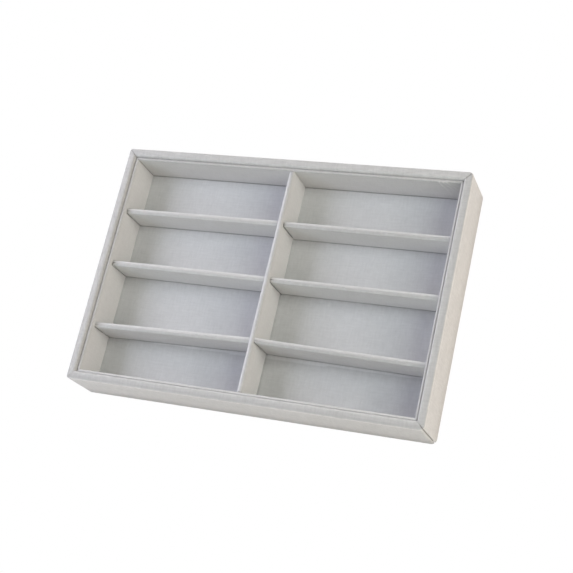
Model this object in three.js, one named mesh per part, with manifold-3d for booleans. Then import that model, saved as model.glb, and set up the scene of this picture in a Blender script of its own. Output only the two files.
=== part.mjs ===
// Open display tray for folded sunglasses: a wall box of padded boards wrapped in cloth, with a thin
// cloth-covered liner standing just inside it, a lined floor, a spine and six cross dividers.
// Millimetres, +Z up. The origin is on the underside, in the middle. +X is to the right, +Y to the back.
import * as THREE from "three";
import { mergeVertices } from "three/addons/utils/BufferGeometryUtils.js";
import Module from "manifold-3d";

const wasm = await Module();
wasm.setup();

// Overall tray
const trayLength = 350;
const trayDepth = 240;
const trayHeight = 50;

// Wall: a board with padded cloth round it, mitred at the four corners
const wallBoard = 5.9;
const wallCloth = 0.8;
const rimOuterRound = 1.8;
const rimInnerRound = 2.5;
const footRound = 0.8;
const cornerRound = 4;
const mitreSeam = 0.3;

// Bottom: a board between the walls and a lining sheet over the joint
const baseBoard = 4;
const baseSheet = 0.6;
const baseSheetInset = 4;

// Liner: thin covered boards that stand just inside the walls
const linerGap = 0.8;
const linerBoard = 1.3;
const linerCloth = 0.5;
const linerRound = 0.9;
const linerBelowRim = 2.5;

// Floor of the compartments: board, foam and lining cloth
const floorBoard = 2.2;
const floorFoam = 3.2;
const floorCloth = 0.6;
const floorClearance = 0.3;

// Dividers: boards in a padded cloth sleeve with soft edges; the spine stands a little lower than the liner
const spineThickness = 4.8;
const crossThickness = 5.5;
const spineBelowLiner = 1.5;
const crossBelowSpine = 3.5;
const dividerCloth = 0.8;
const dividerBond = 0.3;
const dividerTopRound = 1.6;
const dividerNoseRound = 1.7;
const dividerEndGap = 0.3;

// Where the cross dividers stand: offset to the back from even spacing, and turn in degrees in plan
const crossRows = [
  { row: "back", left: { offset: 0.8, turn: 0.4 }, right: { offset: 1.1, turn: 0 } },
  { row: "middle", left: { offset: 1.1, turn: 0 }, right: { offset: 1.1, turn: 0 } },
  { row: "front", left: { offset: -4.8, turn: 1.4 }, right: { offset: -3.9, turn: -0.8 } },
];

// Fineness of the rounded edges
const arcSteps = 2;
const bevelSteps = 3;

// Length cut away under a divider sleeve, so that its lower edge is flat
const trimDepth = 5;

// How far a cut runs past the faces that it opens
const overcut = 1;

// Heights and offsets that follow from the sizes above
const wallThickness = wallBoard + 2 * wallCloth;
const linerThickness = linerBoard + 2 * linerCloth;
const wallBottom = baseSheet;
const wallBoardBottom = wallBottom + wallCloth;
const wallBoardTop = trayHeight - wallCloth;
const wallBoardInner = wallThickness - wallCloth;
const baseTop = wallBottom + baseBoard;
const linerTop = trayHeight - linerBelowRim;
const linerOuter = wallThickness + linerGap;
const linerInner = linerOuter + linerThickness;
const floorTop = baseTop + floorBoard + floorFoam + floorCloth;
const spineRise = linerTop - spineBelowLiner - floorTop;
const crossRise = spineRise - crossBelowSpine;
const innerLength = trayLength - 2 * linerInner;
const innerDepth = trayDepth - 2 * linerInner;

// Finishes
const clothFinish = { color: 0xd3d2cf, roughness: 0.95, metalness: 0 };
const liningFinish = { color: 0xc9cacb, roughness: 0.97, metalness: 0 };
const boardFinish = { color: 0xb0916a, roughness: 0.85, metalness: 0 };
const cardFinish = { color: 0xa79c8c, roughness: 0.9, metalness: 0 };
const foamFinish = { color: 0xe9e6dc, roughness: 1, metalness: 0 };
const sheetFinish = { color: 0xb4b2ae, roughness: 0.98, metalness: 0 };

function piece(name, geometry, finish) {
  const mesh = new THREE.Mesh(geometry, new THREE.MeshStandardMaterial(finish));
  mesh.name = name;
  return mesh;
}

// Closed outline through square corners. Each corner is [across, up, round], and round is its fillet.
function outline(corners) {
  const path = new THREE.Path();
  corners.forEach(([across, up, round], i) => {
    const corner = new THREE.Vector2(across, up);
    const before = corners[(i + corners.length - 1) % corners.length];
    const after = corners[(i + 1) % corners.length];
    const back = new THREE.Vector2(before[0], before[1]).sub(corner).normalize();
    const ahead = new THREE.Vector2(after[0], after[1]).sub(corner).normalize();
    const radius = Math.max(round, 0);
    const start = corner.clone().addScaledVector(back, radius);
    const end = corner.clone().addScaledVector(ahead, radius);
    const centre = start.clone().addScaledVector(ahead, radius);
    if (i === 0) path.moveTo(start.x, start.y);
    else path.lineTo(start.x, start.y);
    if (radius === 0) return;
    const from = Math.atan2(start.y - centre.y, start.x - centre.x);
    const to = Math.atan2(end.y - centre.y, end.x - centre.x);
    path.absarc(centre.x, centre.y, radius, from, to, back.cross(ahead) > 0);
  });
  return new THREE.Shape(path.getPoints(arcSteps));
}

// Bar along X whose section is given as (inwards from the tray's outer face, up), mitred at both ends.
// Each end stays pullBack short of the mitre, measured along the bar.
function mitredBar(section, outerLength, pullBack = mitreSeam * Math.SQRT1_2) {
  const bar = new THREE.ExtrudeGeometry(section, { depth: 1, bevelEnabled: false });
  const place = bar.getAttribute("position");
  for (let i = 0; i < place.count; i += 1) {
    const inwards = place.getX(i);
    const reach = outerLength / 2 - inwards - pullBack;
    const end = place.getZ(i) > 0 ? 1 : -1;
    place.setXYZ(i, end * reach, inwards, place.getY(i));
  }
  return bar;
}

function box(length, depth, bottom, top) {
  const made = new THREE.BoxGeometry(length, depth, top - bottom);
  return made.translate(0, 0, (bottom + top) / 2);
}

// Solid of a closed three.js geometry
function solidOf(geometry) {
  const bare = new THREE.BufferGeometry();
  bare.setAttribute("position", geometry.getAttribute("position"));
  if (geometry.index) bare.setIndex(geometry.index);
  const merged = mergeVertices(bare);
  const mesh = new wasm.Mesh({
    numProp: 3,
    vertProperties: merged.getAttribute("position").array,
    triVerts: new Uint32Array(merged.index.array),
  });
  return new wasm.Manifold(mesh);
}

function geometryOf(solid) {
  const mesh = solid.getMesh();
  const made = new THREE.BufferGeometry();
  made.setAttribute("position", new THREE.BufferAttribute(mesh.vertProperties, 3));
  made.setIndex(new THREE.BufferAttribute(mesh.triVerts, 1));
  made.computeVertexNormals();
  return made;
}

// Upright block that rounds the outer corners of a wall bar; its faces lie inset deep in the tray's faces.
function cornerBlock(outerLength, inset) {
  const half = outerLength / 2 - inset;
  const round = cornerRound - inset;
  const plan = outline([
    [-half, inset, round],
    [half, inset, round],
    [half, outerLength / 2, 0],
    [-half, outerLength / 2, 0],
  ]);
  return solidOf(new THREE.ExtrudeGeometry(plan, { depth: trayHeight + overcut, bevelEnabled: false }));
}

// Upright slab with round noses and a soft top edge; it runs on below z = 0, where trimmed() cuts it off.
function slab(length, thickness, height, nose, top) {
  const corner = Math.min(Math.max(nose, 0), thickness / 2);
  const edge = Math.min(Math.max(top, 0), corner);
  const plan = outline([
    [-length / 2, -thickness / 2, corner],
    [length / 2, -thickness / 2, corner],
    [length / 2, thickness / 2, corner],
    [-length / 2, thickness / 2, corner],
  ]);
  const made = new THREE.ExtrudeGeometry(plan, {
    depth: height - edge + trimDepth,
    bevelEnabled: edge > 0,
    bevelThickness: edge,
    bevelSize: edge,
    bevelOffset: -edge,
    bevelSegments: bevelSteps,
  });
  return solidOf(made.translate(0, 0, -trimDepth));
}

function trimmed(solid, length, thickness) {
  const below = box(2 * length, 2 * thickness, -trimDepth - 2 * thickness, 0);
  return geometryOf(solid.subtract(solidOf(below)));
}

// Board of one divider and the cloth sleeve over it
function divider(name, length, thickness, rise) {
  const inset = (depth) => slab(
    length - 2 * depth,
    thickness - 2 * depth,
    rise - depth,
    dividerNoseRound - depth,
    dividerTopRound - depth,
  );
  const sleeve = inset(0).subtract(inset(dividerCloth));
  const board = inset(dividerCloth + dividerBond);
  const group = new THREE.Group();
  group.add(piece(`${name}_sleeve`, trimmed(sleeve, length, thickness), clothFinish));
  group.add(piece(`${name}_board`, trimmed(board, length, thickness), cardFinish));
  return group;
}

// The four sides: outward direction and turn of each, and the length of the bar on it
const sides = [
  { side: "front", x: 0, y: -trayDepth / 2, turn: 0, length: trayLength },
  { side: "back", x: 0, y: trayDepth / 2, turn: Math.PI, length: trayLength },
  { side: "left", x: -trayLength / 2, y: 0, turn: -Math.PI / 2, length: trayDepth },
  { side: "right", x: trayLength / 2, y: 0, turn: Math.PI / 2, length: trayDepth },
];

// Whole wall: under the board, up the outside, over the rim and down inside to the base board
function wallSection() {
  return outline([
    [0, wallBottom, footRound],
    [wallBoardInner, wallBottom, 0],
    [wallBoardInner, baseTop, 0],
    [wallThickness, baseTop, 0],
    [wallThickness, trayHeight, rimInnerRound],
    [0, trayHeight, rimOuterRound],
  ]);
}

function wallBoardSection() {
  return outline([
    [wallCloth, wallBoardBottom, 0],
    [wallBoardInner, wallBoardBottom, 0],
    [wallBoardInner, wallBoardTop, rimInnerRound - wallCloth],
    [wallCloth, wallBoardTop, rimOuterRound - wallCloth],
  ]);
}

// Room for the board in its wrap, which is open to the base board
function wallRoomSection() {
  return outline([
    [wallCloth, wallBoardBottom, 0],
    [wallBoardInner + overcut, wallBoardBottom, 0],
    [wallBoardInner + overcut, baseTop, 0],
    [wallBoardInner, baseTop, 0],
    [wallBoardInner, wallBoardTop, rimInnerRound - wallCloth],
    [wallCloth, wallBoardTop, rimOuterRound - wallCloth],
  ]);
}

function wallBoardOf(length) {
  const bar = solidOf(mitredBar(wallBoardSection(), length));
  return geometryOf(bar.intersect(cornerBlock(length, wallCloth)));
}

// Cloth round a wall board: the whole wall less the room for the board
function wallWrapOf(length) {
  const wall = solidOf(mitredBar(wallSection(), length)).intersect(cornerBlock(length, 0));
  const room = solidOf(mitredBar(wallRoomSection(), length, -overcut));
  return geometryOf(wall.subtract(room.intersect(cornerBlock(length, wallCloth))));
}

// Cloth over a liner board, down both of its faces
function linerCoverSection() {
  const boardOuter = linerOuter + linerCloth;
  const boardInner = linerInner - linerCloth;
  const boardTop = linerTop - linerCloth;
  const inside = linerRound - linerCloth;
  return outline([
    [linerOuter, baseTop, 0],
    [boardOuter, baseTop, 0],
    [boardOuter, boardTop, inside],
    [boardInner, boardTop, inside],
    [boardInner, baseTop, 0],
    [linerInner, baseTop, 0],
    [linerInner, linerTop, linerRound],
    [linerOuter, linerTop, linerRound],
  ]);
}

function linerBoardSection() {
  const boardOuter = linerOuter + linerCloth;
  const boardInner = linerInner - linerCloth;
  const boardTop = linerTop - linerCloth;
  const inside = linerRound - linerCloth;
  return outline([
    [boardOuter, baseTop, 0],
    [boardInner, baseTop, 0],
    [boardInner, boardTop, inside],
    [boardOuter, boardTop, inside],
  ]);
}

// One side of the tray: wall board, its wrap, liner board and its cover
function sidePieces({ side, x, y, turn, length }) {
  const group = new THREE.Group();
  group.position.set(x, y, 0);
  group.rotation.z = turn;
  group.add(piece(`${side}_wall_board`, wallBoardOf(length), boardFinish));
  group.add(piece(`${side}_wall_wrap`, wallWrapOf(length), clothFinish));
  group.add(piece(`${side}_liner_board`, mitredBar(linerBoardSection(), length), cardFinish));
  group.add(piece(`${side}_liner_cover`, mitredBar(linerCoverSection(), length), clothFinish));
  return group;
}

// Base board between the wall boards, and the sheet that closes the underside
function basePieces() {
  const board = box(trayLength - 2 * wallBoardInner, trayDepth - 2 * wallBoardInner, wallBottom, baseTop);
  const sheet = box(trayLength - 2 * baseSheetInset, trayDepth - 2 * baseSheetInset, 0, baseSheet);
  const group = new THREE.Group();
  group.add(piece("base_board", board, boardFinish));
  group.add(piece("base_sheet", sheet, sheetFinish));
  return group;
}

// Floor laid between the liners: board, foam, lining
function floorPieces() {
  const length = innerLength - 2 * floorClearance;
  const depth = innerDepth - 2 * floorClearance;
  const foamBottom = baseTop + floorBoard;
  const clothBottom = foamBottom + floorFoam;
  const group = new THREE.Group();
  group.add(piece("floor_board", box(length, depth, baseTop, foamBottom), cardFinish));
  group.add(piece("floor_foam", box(length, depth, foamBottom, clothBottom), foamFinish));
  group.add(piece("floor_lining", box(length, depth, clothBottom, floorTop), liningFinish));
  return group;
}

// Spine from the front liner to the back liner
function spinePieces() {
  const group = divider("spine", innerDepth - 2 * dividerEndGap, spineThickness, spineRise);
  group.position.set(0, 0, floorTop);
  group.rotation.z = Math.PI / 2;
  return group;
}

// Cross dividers between the spine and the side liners
function crossPieces() {
  const columnLength = (innerLength - spineThickness) / 2;
  const columnMiddle = (innerLength + spineThickness) / 4;
  const rowPitch = (innerDepth + crossThickness) / (crossRows.length + 1);
  const length = columnLength - 2 * dividerEndGap;
  const group = new THREE.Group();
  crossRows.forEach(({ row, left, right }, i) => {
    const evenY = innerDepth / 2 + crossThickness / 2 - rowPitch * (i + 1);
    [["left", -columnMiddle, left], ["right", columnMiddle, right]].forEach(([side, x, { offset, turn }]) => {
      const made = divider(`${side}_${row}_divider`, length, crossThickness, crossRise);
      made.position.set(x, evenY + offset, floorTop);
      made.rotation.z = THREE.MathUtils.degToRad(turn);
      group.add(made);
    });
  });
  return group;
}

const tray = new THREE.Group();
tray.add(basePieces());
sides.forEach((side) => tray.add(sidePieces(side)));
tray.add(floorPieces());
tray.add(spinePieces());
tray.add(crossPieces());

export default tray;
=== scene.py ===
"""Looks of a cloth-covered tray for folded sunglasses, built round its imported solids.

Metres throughout, in the part's own frame: +X to the right, +Y to the back, +Z up, and the origin on the
underside, in the middle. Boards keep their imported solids; every piece of cloth, foam or felt is built here.
"""

import logging
import math
from dataclasses import dataclass
from enum import Enum
from typing import Sequence

import bmesh
import bpy
import numpy as np
from mathutils import Matrix, Vector


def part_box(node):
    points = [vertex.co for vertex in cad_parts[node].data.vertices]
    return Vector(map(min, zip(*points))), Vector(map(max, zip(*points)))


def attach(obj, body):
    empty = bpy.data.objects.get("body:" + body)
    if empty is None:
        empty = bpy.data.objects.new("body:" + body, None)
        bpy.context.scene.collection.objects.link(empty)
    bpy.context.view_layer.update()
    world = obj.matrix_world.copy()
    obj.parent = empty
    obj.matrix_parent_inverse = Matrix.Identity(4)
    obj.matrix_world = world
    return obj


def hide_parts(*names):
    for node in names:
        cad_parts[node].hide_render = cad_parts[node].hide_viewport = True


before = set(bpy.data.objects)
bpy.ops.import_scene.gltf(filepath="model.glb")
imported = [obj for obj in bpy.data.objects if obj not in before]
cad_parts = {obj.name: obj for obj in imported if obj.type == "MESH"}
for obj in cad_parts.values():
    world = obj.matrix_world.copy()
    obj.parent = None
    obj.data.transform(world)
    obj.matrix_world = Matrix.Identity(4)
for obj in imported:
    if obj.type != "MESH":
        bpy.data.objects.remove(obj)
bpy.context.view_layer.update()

Array = np.ndarray
Colour = tuple[float, float, float]

LOG = logging.getLogger("tray")
BODY = "root"
MILLIMETRE = 0.001
SHARP_EDGE = math.radians(55)
WELD_DISTANCE = 1e-6
CLOTH_MAP = "cloth"
# Mask of painted shade, with dirt in the joints.
SHADE_AND_DIRT_MASK = "painted_shade_and_dirt"
# Mask of painted highlight, with rubbing.
HIGHLIGHT_AND_RUB_MASK = "painted_highlight_and_rub"


class Corner(Enum):
    """A corner of the tray.

    Each has how far its seam has opened on the rim and on the upright edge, from 0 to 1, and the radius to
    which the upright edge is rounded, in millimetres.
    """

    FRONT_LEFT = ("front_left", 0.05, 0.40, 2.6)
    FRONT_RIGHT = ("front_right", 0.25, 1.00, 4.8)
    BACK_RIGHT = ("back_right", 0.80, 0.70, 4.2)
    BACK_LEFT = ("back_left", 0.60, 0.45, 2.8)

    @property
    def rim(self) -> float:
        """How far the seam has opened on the rim, from 0 to 1."""
        return self.value[1]

    @property
    def edge(self) -> float:
        """How far the seam has opened on the upright edge, from 0 to 1."""
        return self.value[2]

    @property
    def radius(self) -> float:
        """Radius of the upright edge, in metres."""
        return self.value[3] * MILLIMETRE


class Side(Enum):
    """A side of the tray.

    Each has the turn in plan that brings the front to it, in quarter turns; the width of the slit between
    rim and liner and the radius of the rim's inner edge, in millimetres; from 0 to 1 how much painted
    highlight, with some rubbing, the top of the outside, the rim's outer edge, its flat and its inner edge
    carry; and from 0 to 1 how much painted shade the liner's top, the rim next to its outer edge and the
    wall's foot carry.
    """

    FRONT = ("front", 0, 0.35, 1.7, (0.22, 1.0, 0.0, 1.0), 0.10, 0.30, 0.72)
    RIGHT = ("right", 1, 0.40, 1.6, (0.0, 0.6, 0.0, 0.7), 0.32, 0.15, 0.25)
    BACK = ("back", 2, 0.05, 3.0, (0.0, 0.65, 0.24, 0.55), 0.55, 0.0, 0.25)
    LEFT = ("left", -1, 0.25, 3.0, (0.0, 0.65, 0.36, 0.0), 0.42, 0.0, 0.25)

    @property
    def word(self) -> str:
        """Name of the side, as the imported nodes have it."""
        return self.value[0]

    @property
    def turn(self) -> float:
        """Turn in plan from the front to this side, in radians."""
        return self.value[1] * math.pi / 2

    @property
    def along_length(self) -> bool:
        """Whether the side runs along the tray's length."""
        return self in (Side.FRONT, Side.BACK)

    @property
    def slit(self) -> float:
        """Width of the slit between rim and liner, in metres."""
        return self.value[2] * MILLIMETRE

    @property
    def inner_round(self) -> float:
        """Radius of the rim's inner edge, in metres."""
        return self.value[3] * MILLIMETRE

    @property
    def rubs(self) -> tuple[float, float, float, float]:
        """Painted highlight and rubbing on the outside's top and the rim's outer edge, flat and inner edge,
        from 0 to 1.
        """
        return self.value[4]

    @property
    def liner_soil(self) -> float:
        """Painted shade on the liner's top, where the rim shadows it, from 0 to 1."""
        return self.value[5]

    @property
    def rim_soil(self) -> float:
        """Painted shade on the rim next to its outer edge, from 0 to 1."""
        return self.value[6]

    @property
    def foot_soil(self) -> float:
        """Painted shade on the wall's foot, where the floor shadows it, from 0 to 1."""
        return self.value[7]

    @property
    def corners(self) -> tuple[Corner, Corner]:
        """Corners at the two ends, going round the tray from the front left corner to the right.

        Returns:
            First and last corner of the side.
        """
        order = list(Corner)
        first = self.value[1] % len(order)
        return order[first], order[(first + 1) % len(order)]


class DividerPlace(Enum):
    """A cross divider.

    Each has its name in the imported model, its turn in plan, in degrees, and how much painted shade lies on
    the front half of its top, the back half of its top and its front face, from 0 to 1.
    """

    LEFT_BACK = ("left_back", 0.4, (0.44, 0.05, 0.0))
    LEFT_MIDDLE = ("left_middle", 0.0, (0.38, 0.05, 0.0))
    LEFT_FRONT = ("left_front", 1.4, (0.46, 0.05, 0.15))
    RIGHT_BACK = ("right_back", 0.0, (0.61, 0.12, 0.0))
    RIGHT_MIDDLE = ("right_middle", 0.0, (0.57, 0.13, 0.04))
    RIGHT_FRONT = ("right_front", -0.8, (0.64, 0.13, 0.14))

    @property
    def node(self) -> str:
        """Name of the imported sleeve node."""
        return f"{self.value[0]}_divider_sleeve"

    @property
    def turn(self) -> float:
        """Turn in plan, in radians."""
        return math.radians(self.value[1])

    @property
    def soil(self) -> tuple[float, float, float]:
        """Painted shade on the top's front half, its back half and the front face, from 0 to 1."""
        return self.value[2]


@dataclass
class Patch:
    """A grid of points on a piece, with what the finish reads at each of them.

    Attributes:
        points: Places, rows x columns x 3.
        cloth: Cloth coordinates in metres, rows x columns x 2.
        joint: Painted shade, with dirt in the joints, at each point, from 0 to 1, rows x columns.
        rub: Painted highlight, with rubbing, at each point, from 0 to 1, rows x columns.
    """

    points: Array
    cloth: Array
    joint: Array
    rub: Array


class MeshStock:
    """Collects patches and the quads between their points, and makes one mesh of them."""

    def __init__(self) -> None:
        """Starts with no points."""
        self.patches: list[Patch] = []
        self.quads: list[Array] = []
        self.count = 0

    def add(self, patch: Patch) -> Array:
        """Takes in a patch.

        Args:
            patch: Grid of points.

        Returns:
            The numbers of its points, rows x columns.
        """
        rows, columns = patch.points.shape[:2]
        numbers = self.count + np.arange(rows * columns).reshape(rows, columns)
        self.patches.append(patch)
        self.count += rows * columns
        return numbers

    def skin(self, numbers: Array) -> None:
        """Lays a quad between each four neighbours of a grid of point numbers.

        Args:
            numbers: Grid of point numbers; rows go up and columns to the right as seen from outside.
        """
        corners = (numbers[:-1, :-1], numbers[:-1, 1:], numbers[1:, 1:], numbers[1:, :-1])
        self.quads.append(np.stack(corners, axis=-1).reshape(-1, 4))

    def shell(self, outer: Patch, inner: Patch) -> None:
        """Closes a thin shell: both skins, and the strips that join them along the four edges.

        Args:
            outer: Grid of the outer skin.
            inner: Grid of the inner skin, with the same rows and columns.
        """
        out = self.add(outer)
        back = self.add(inner)
        self.skin(out)
        self.skin(back[:, ::-1])
        self.skin(np.stack([back[0], out[0]]))
        self.skin(np.stack([out[-1], back[-1]]))
        self.skin(np.stack([back[:, 0], out[:, 0]], axis=1))
        self.skin(np.stack([out[:, -1], back[:, -1]], axis=1))

    def build(self, name: str) -> bpy.types.Object:
        """Makes the mesh, welds points that fall together and smooths the shading.

        Args:
            name: Name of the new object.

        Returns:
            The object, at the origin, in the scene.
        """
        places = np.concatenate([p.points.reshape(-1, 3) for p in self.patches])
        cloth = np.concatenate([p.cloth.reshape(-1, 2) for p in self.patches])
        masks = {
            SHADE_AND_DIRT_MASK: np.concatenate([p.joint.ravel() for p in self.patches]),
            HIGHLIGHT_AND_RUB_MASK: np.concatenate([p.rub.ravel() for p in self.patches]),
        }
        quads = np.concatenate(self.quads)
        mesh = bpy.data.meshes.new(name)
        mesh.from_pydata(places.tolist(), [], quads.tolist())
        layer = mesh.uv_layers.new(name=CLOTH_MAP)
        layer.data.foreach_set("uv", cloth[quads.ravel()].astype(np.float32).ravel())
        for mask, values in masks.items():
            attribute = mesh.attributes.new(mask, "FLOAT", "POINT")
            attribute.data.foreach_set("value", np.clip(values, 0, 1).astype(np.float32))
        weld(mesh)
        mesh.shade_smooth()
        mesh.set_sharp_from_angle(angle=SHARP_EDGE)
        piece = bpy.data.objects.new(name, mesh)
        bpy.context.scene.collection.objects.link(piece)
        return piece


def weld(mesh: bpy.types.Mesh) -> None:
    """Merges points that fall together and drops the faces that this leaves without area.

    Args:
        mesh: Mesh to clean in place.
    """
    work = bmesh.new()
    work.from_mesh(mesh)
    bmesh.ops.remove_doubles(work, verts=work.verts, dist=WELD_DISTANCE)
    bmesh.ops.dissolve_degenerate(work, edges=work.edges, dist=WELD_DISTANCE)
    work.to_mesh(mesh)
    work.free()
    mesh.update()


def straight(start: Array, end: Array, spacing: float) -> Array:
    """Equal steps from start to end, none longer than spacing."""
    count = max(2, math.ceil(np.linalg.norm(end - start) / spacing) + 1)
    return start + np.linspace(0, 1, count)[:, None] * (end - start)


def soft_path(
    corners: Sequence[tuple[float, float]], rounds: Sequence[float], spacings: Sequence[float]
) -> Array:
    """Open line through corners, with the inner corners rounded.

    A straight stretch is split into equal steps. On a rounded corner the point is the arc's centre plus the
    radius times (cosine, sine) of an angle that goes evenly between the tangent points.

    Args:
        corners: Corner points; neighbouring stretches meet at right angles.
        rounds: Radius at each inner corner.
        spacings: Longest step on each straight stretch.

    Returns:
        Points of the line, count x 2.
    """
    steps = 8
    points = np.array(corners, float)
    ahead = np.diff(points, axis=0)
    ahead /= np.linalg.norm(ahead, axis=1, keepdims=True)
    angle = np.linspace(0, math.pi / 2, steps + 1)[1:-1, None]
    pieces = []
    start = points[0]
    for corner, into, out_of, radius, spacing in zip(points[1:-1], ahead[:-1], ahead[1:], rounds, spacings):
        end = corner - radius * into
        centre = end + radius * out_of
        pieces.append(straight(start, end, spacing))
        pieces.append(centre - radius * np.cos(angle) * out_of + radius * np.sin(angle) * into)
        start = corner + radius * out_of
    pieces.append(straight(start, points[-1], spacings[-1]))
    return np.concatenate(pieces)


def left_normals(path: Array) -> Array:
    """Unit normals on the left of a line, from the direction between each point's neighbours.

    Args:
        path: Points of the line, count x 2.

    Returns:
        Normals, count x 2.
    """
    before = np.vstack([path[:1], path[:-1]])
    after = np.vstack([path[1:], path[-1:]])
    heading = after - before
    heading /= np.linalg.norm(heading, axis=1, keepdims=True)
    return np.stack([-heading[:, 1], heading[:, 0]], axis=1)


def run_length(path: Array) -> Array:
    """Distance along a line to each of its points."""
    steps = np.linalg.norm(np.diff(path, axis=0), axis=1)
    return np.concatenate([[0.0], np.cumsum(steps)])


def soft_waves(across: Array, along: Array, lengths: Sequence[float], seed: int) -> Array:
    """Gentle uneven field between about -1 and 1.

    The mean of sine waves of the given lengths, each in a direction and with a phase drawn from the seed.

    Args:
        across: First coordinate, in metres.
        along: Second coordinate, in metres.
        lengths: Wavelengths, in metres.
        seed: Seed of the draws.

    Returns:
        Value of the field at each point.
    """
    draw = np.random.default_rng(seed)
    total = np.zeros(np.broadcast(across, along).shape)
    for length in lengths:
        turn, phase = draw.uniform(0, 2 * math.pi, 2)
        total += np.sin(2 * math.pi * (across * math.cos(turn) + along * math.sin(turn)) / length + phase)
    return total / len(lengths)


def even_cosine(low: float, high: float, steps: int) -> Array:
    """Points from low to high that crowd at both ends, as half a cosine wave does."""
    return low + (high - low) * (0.5 - 0.5 * np.cos(np.linspace(0, math.pi, steps + 1)))


def turned(points: Array, turn: float, place: tuple[float, float]) -> Array:
    """Points turned in plan about the origin and then moved.

    Args:
        points: Places, any grid x 3.
        turn: Turn about +Z, in radians.
        place: Move in X and Y.

    Returns:
        The new places.
    """
    x, y, z = points[..., 0], points[..., 1], points[..., 2]
    cosine, sine = math.cos(turn), math.sin(turn)
    return np.stack([place[0] + x * cosine - y * sine, place[1] + x * sine + y * cosine, z], axis=-1)


class Graph:
    """Adds nodes to one node tree and links them."""

    def __init__(self, tree: bpy.types.NodeTree) -> None:
        """Works on the given tree."""
        self.tree = tree

    def add(self, kind: str, inputs: dict | None = None, **settings: object) -> bpy.types.Node:
        """Adds a node.

        Args:
            kind: Blender's name for the kind of node.
            inputs: Values or sockets for its inputs, by name or number.
            **settings: Properties of the node.

        Returns:
            The node.
        """
        node = self.tree.nodes.new(kind)
        for name, value in settings.items():
            setattr(node, name, value)
        for key, value in (inputs or {}).items():
            self.feed(node.inputs[key], value)
        return node

    def feed(self, socket: bpy.types.NodeSocket, value: object) -> None:
        """Links a socket to an input, or sets the input's own value.

        Args:
            socket: The input.
            value: Socket to link, or the value to set.
        """
        if isinstance(value, bpy.types.NodeSocket):
            self.tree.links.new(value, socket)
        else:
            socket.default_value = value

    def math(self, operation: str, *values: object, clamp: bool = False) -> bpy.types.NodeSocket:
        """Adds a math node.

        Args:
            operation: Name of the operation.
            *values: Numbers or sockets, in order.
            clamp: Whether the result is kept from 0 to 1.

        Returns:
            Its result.
        """
        inputs = dict(enumerate(values))
        return self.add("ShaderNodeMath", inputs, operation=operation, use_clamp=clamp).outputs[0]

    def blend(self, share: object, first: object, second: object) -> bpy.types.NodeSocket:
        """Mixes two colours.

        Args:
            share: How much of the second colour, from 0 to 1.
            first: Colour or socket at share 0.
            second: Colour or socket at share 1.

        Returns:
            The mixed colour.
        """
        inputs = {0: share, 6: opaque(first), 7: opaque(second)}
        return self.add("ShaderNodeMix", inputs, data_type="RGBA", clamp_factor=True).outputs[2]

    def noise(
        self, vector: object, scale: float, detail: float, roughness: float = 0.5
    ) -> bpy.types.NodeSocket:
        """Adds a noise texture.

        Args:
            vector: Where to read it.
            scale: Waves per metre.
            detail: Number of finer layers.
            roughness: Strength of the finer layers.

        Returns:
            Its value, from 0 to 1.
        """
        inputs = {"Vector": vector, "Scale": scale, "Detail": detail, "Roughness": roughness}
        return self.add("ShaderNodeTexNoise", inputs).outputs["Fac"]

    def stretched(self, vector: object, scale: tuple[float, float, float]) -> bpy.types.NodeSocket:
        """A vector with each part multiplied by its own factor."""
        inputs = {0: vector, 1: scale}
        return self.add("ShaderNodeVectorMath", inputs, operation="MULTIPLY").outputs[0]

    def attribute(self, name: str) -> bpy.types.NodeSocket:
        """Value of a mask that the mesh carries."""
        return self.add("ShaderNodeAttribute", attribute_name=name).outputs["Fac"]


def opaque(colour: object) -> object:
    """A colour of three parts with full opacity; anything else as it is.

    Args:
        colour: Colour, or a socket.

    Returns:
        Colour of four parts, or the same socket.
    """
    if isinstance(colour, tuple) and len(colour) == 3:
        return (*colour, 1.0)
    return colour


def dimmed(colour: Colour, share: float) -> Colour:
    """A colour with each part multiplied by the same share."""
    return tuple(part * share for part in colour)


class Effect:
    """A shader node group that several finishes use, built once."""

    def __init__(self, name: str, inputs: dict[str, tuple[str, object]], outputs: dict[str, str]) -> None:
        """Makes an empty group with named sockets.

        Args:
            name: Name of the group.
            inputs: Kind of socket and default value of each input.
            outputs: Kind of socket of each output.
        """
        self.tree = bpy.data.node_groups.new(name, "ShaderNodeTree")
        for label, (kind, value) in inputs.items():
            socket = self.tree.interface.new_socket(name=label, in_out="INPUT", socket_type=kind)
            if value is not None:
                socket.default_value = value
        for label, kind in outputs.items():
            self.tree.interface.new_socket(name=label, in_out="OUTPUT", socket_type=kind)
        self.graph = Graph(self.tree)
        self.given = self.graph.add("NodeGroupInput").outputs
        self.result = self.graph.add("NodeGroupOutput").inputs

    def give(self, label: str, value: bpy.types.NodeSocket) -> None:
        """Links a value to one of the group's outputs."""
        self.graph.feed(self.result[label], value)

    def place(self, graph: Graph, inputs: dict[str, object]) -> bpy.types.bpy_prop_collection:
        """Puts the group into a material.

        Args:
            graph: The material's graph.
            inputs: Values or sockets for the group's inputs.

        Returns:
            The outputs of the placed group.
        """
        node = graph.add("ShaderNodeGroup", node_tree=self.tree, label=self.tree.name)
        for label, value in inputs.items():
            graph.feed(node.inputs[label], value)
        return node.outputs


VALUE = "NodeSocketFloat"
VECTOR = "NodeSocketVector"


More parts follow.
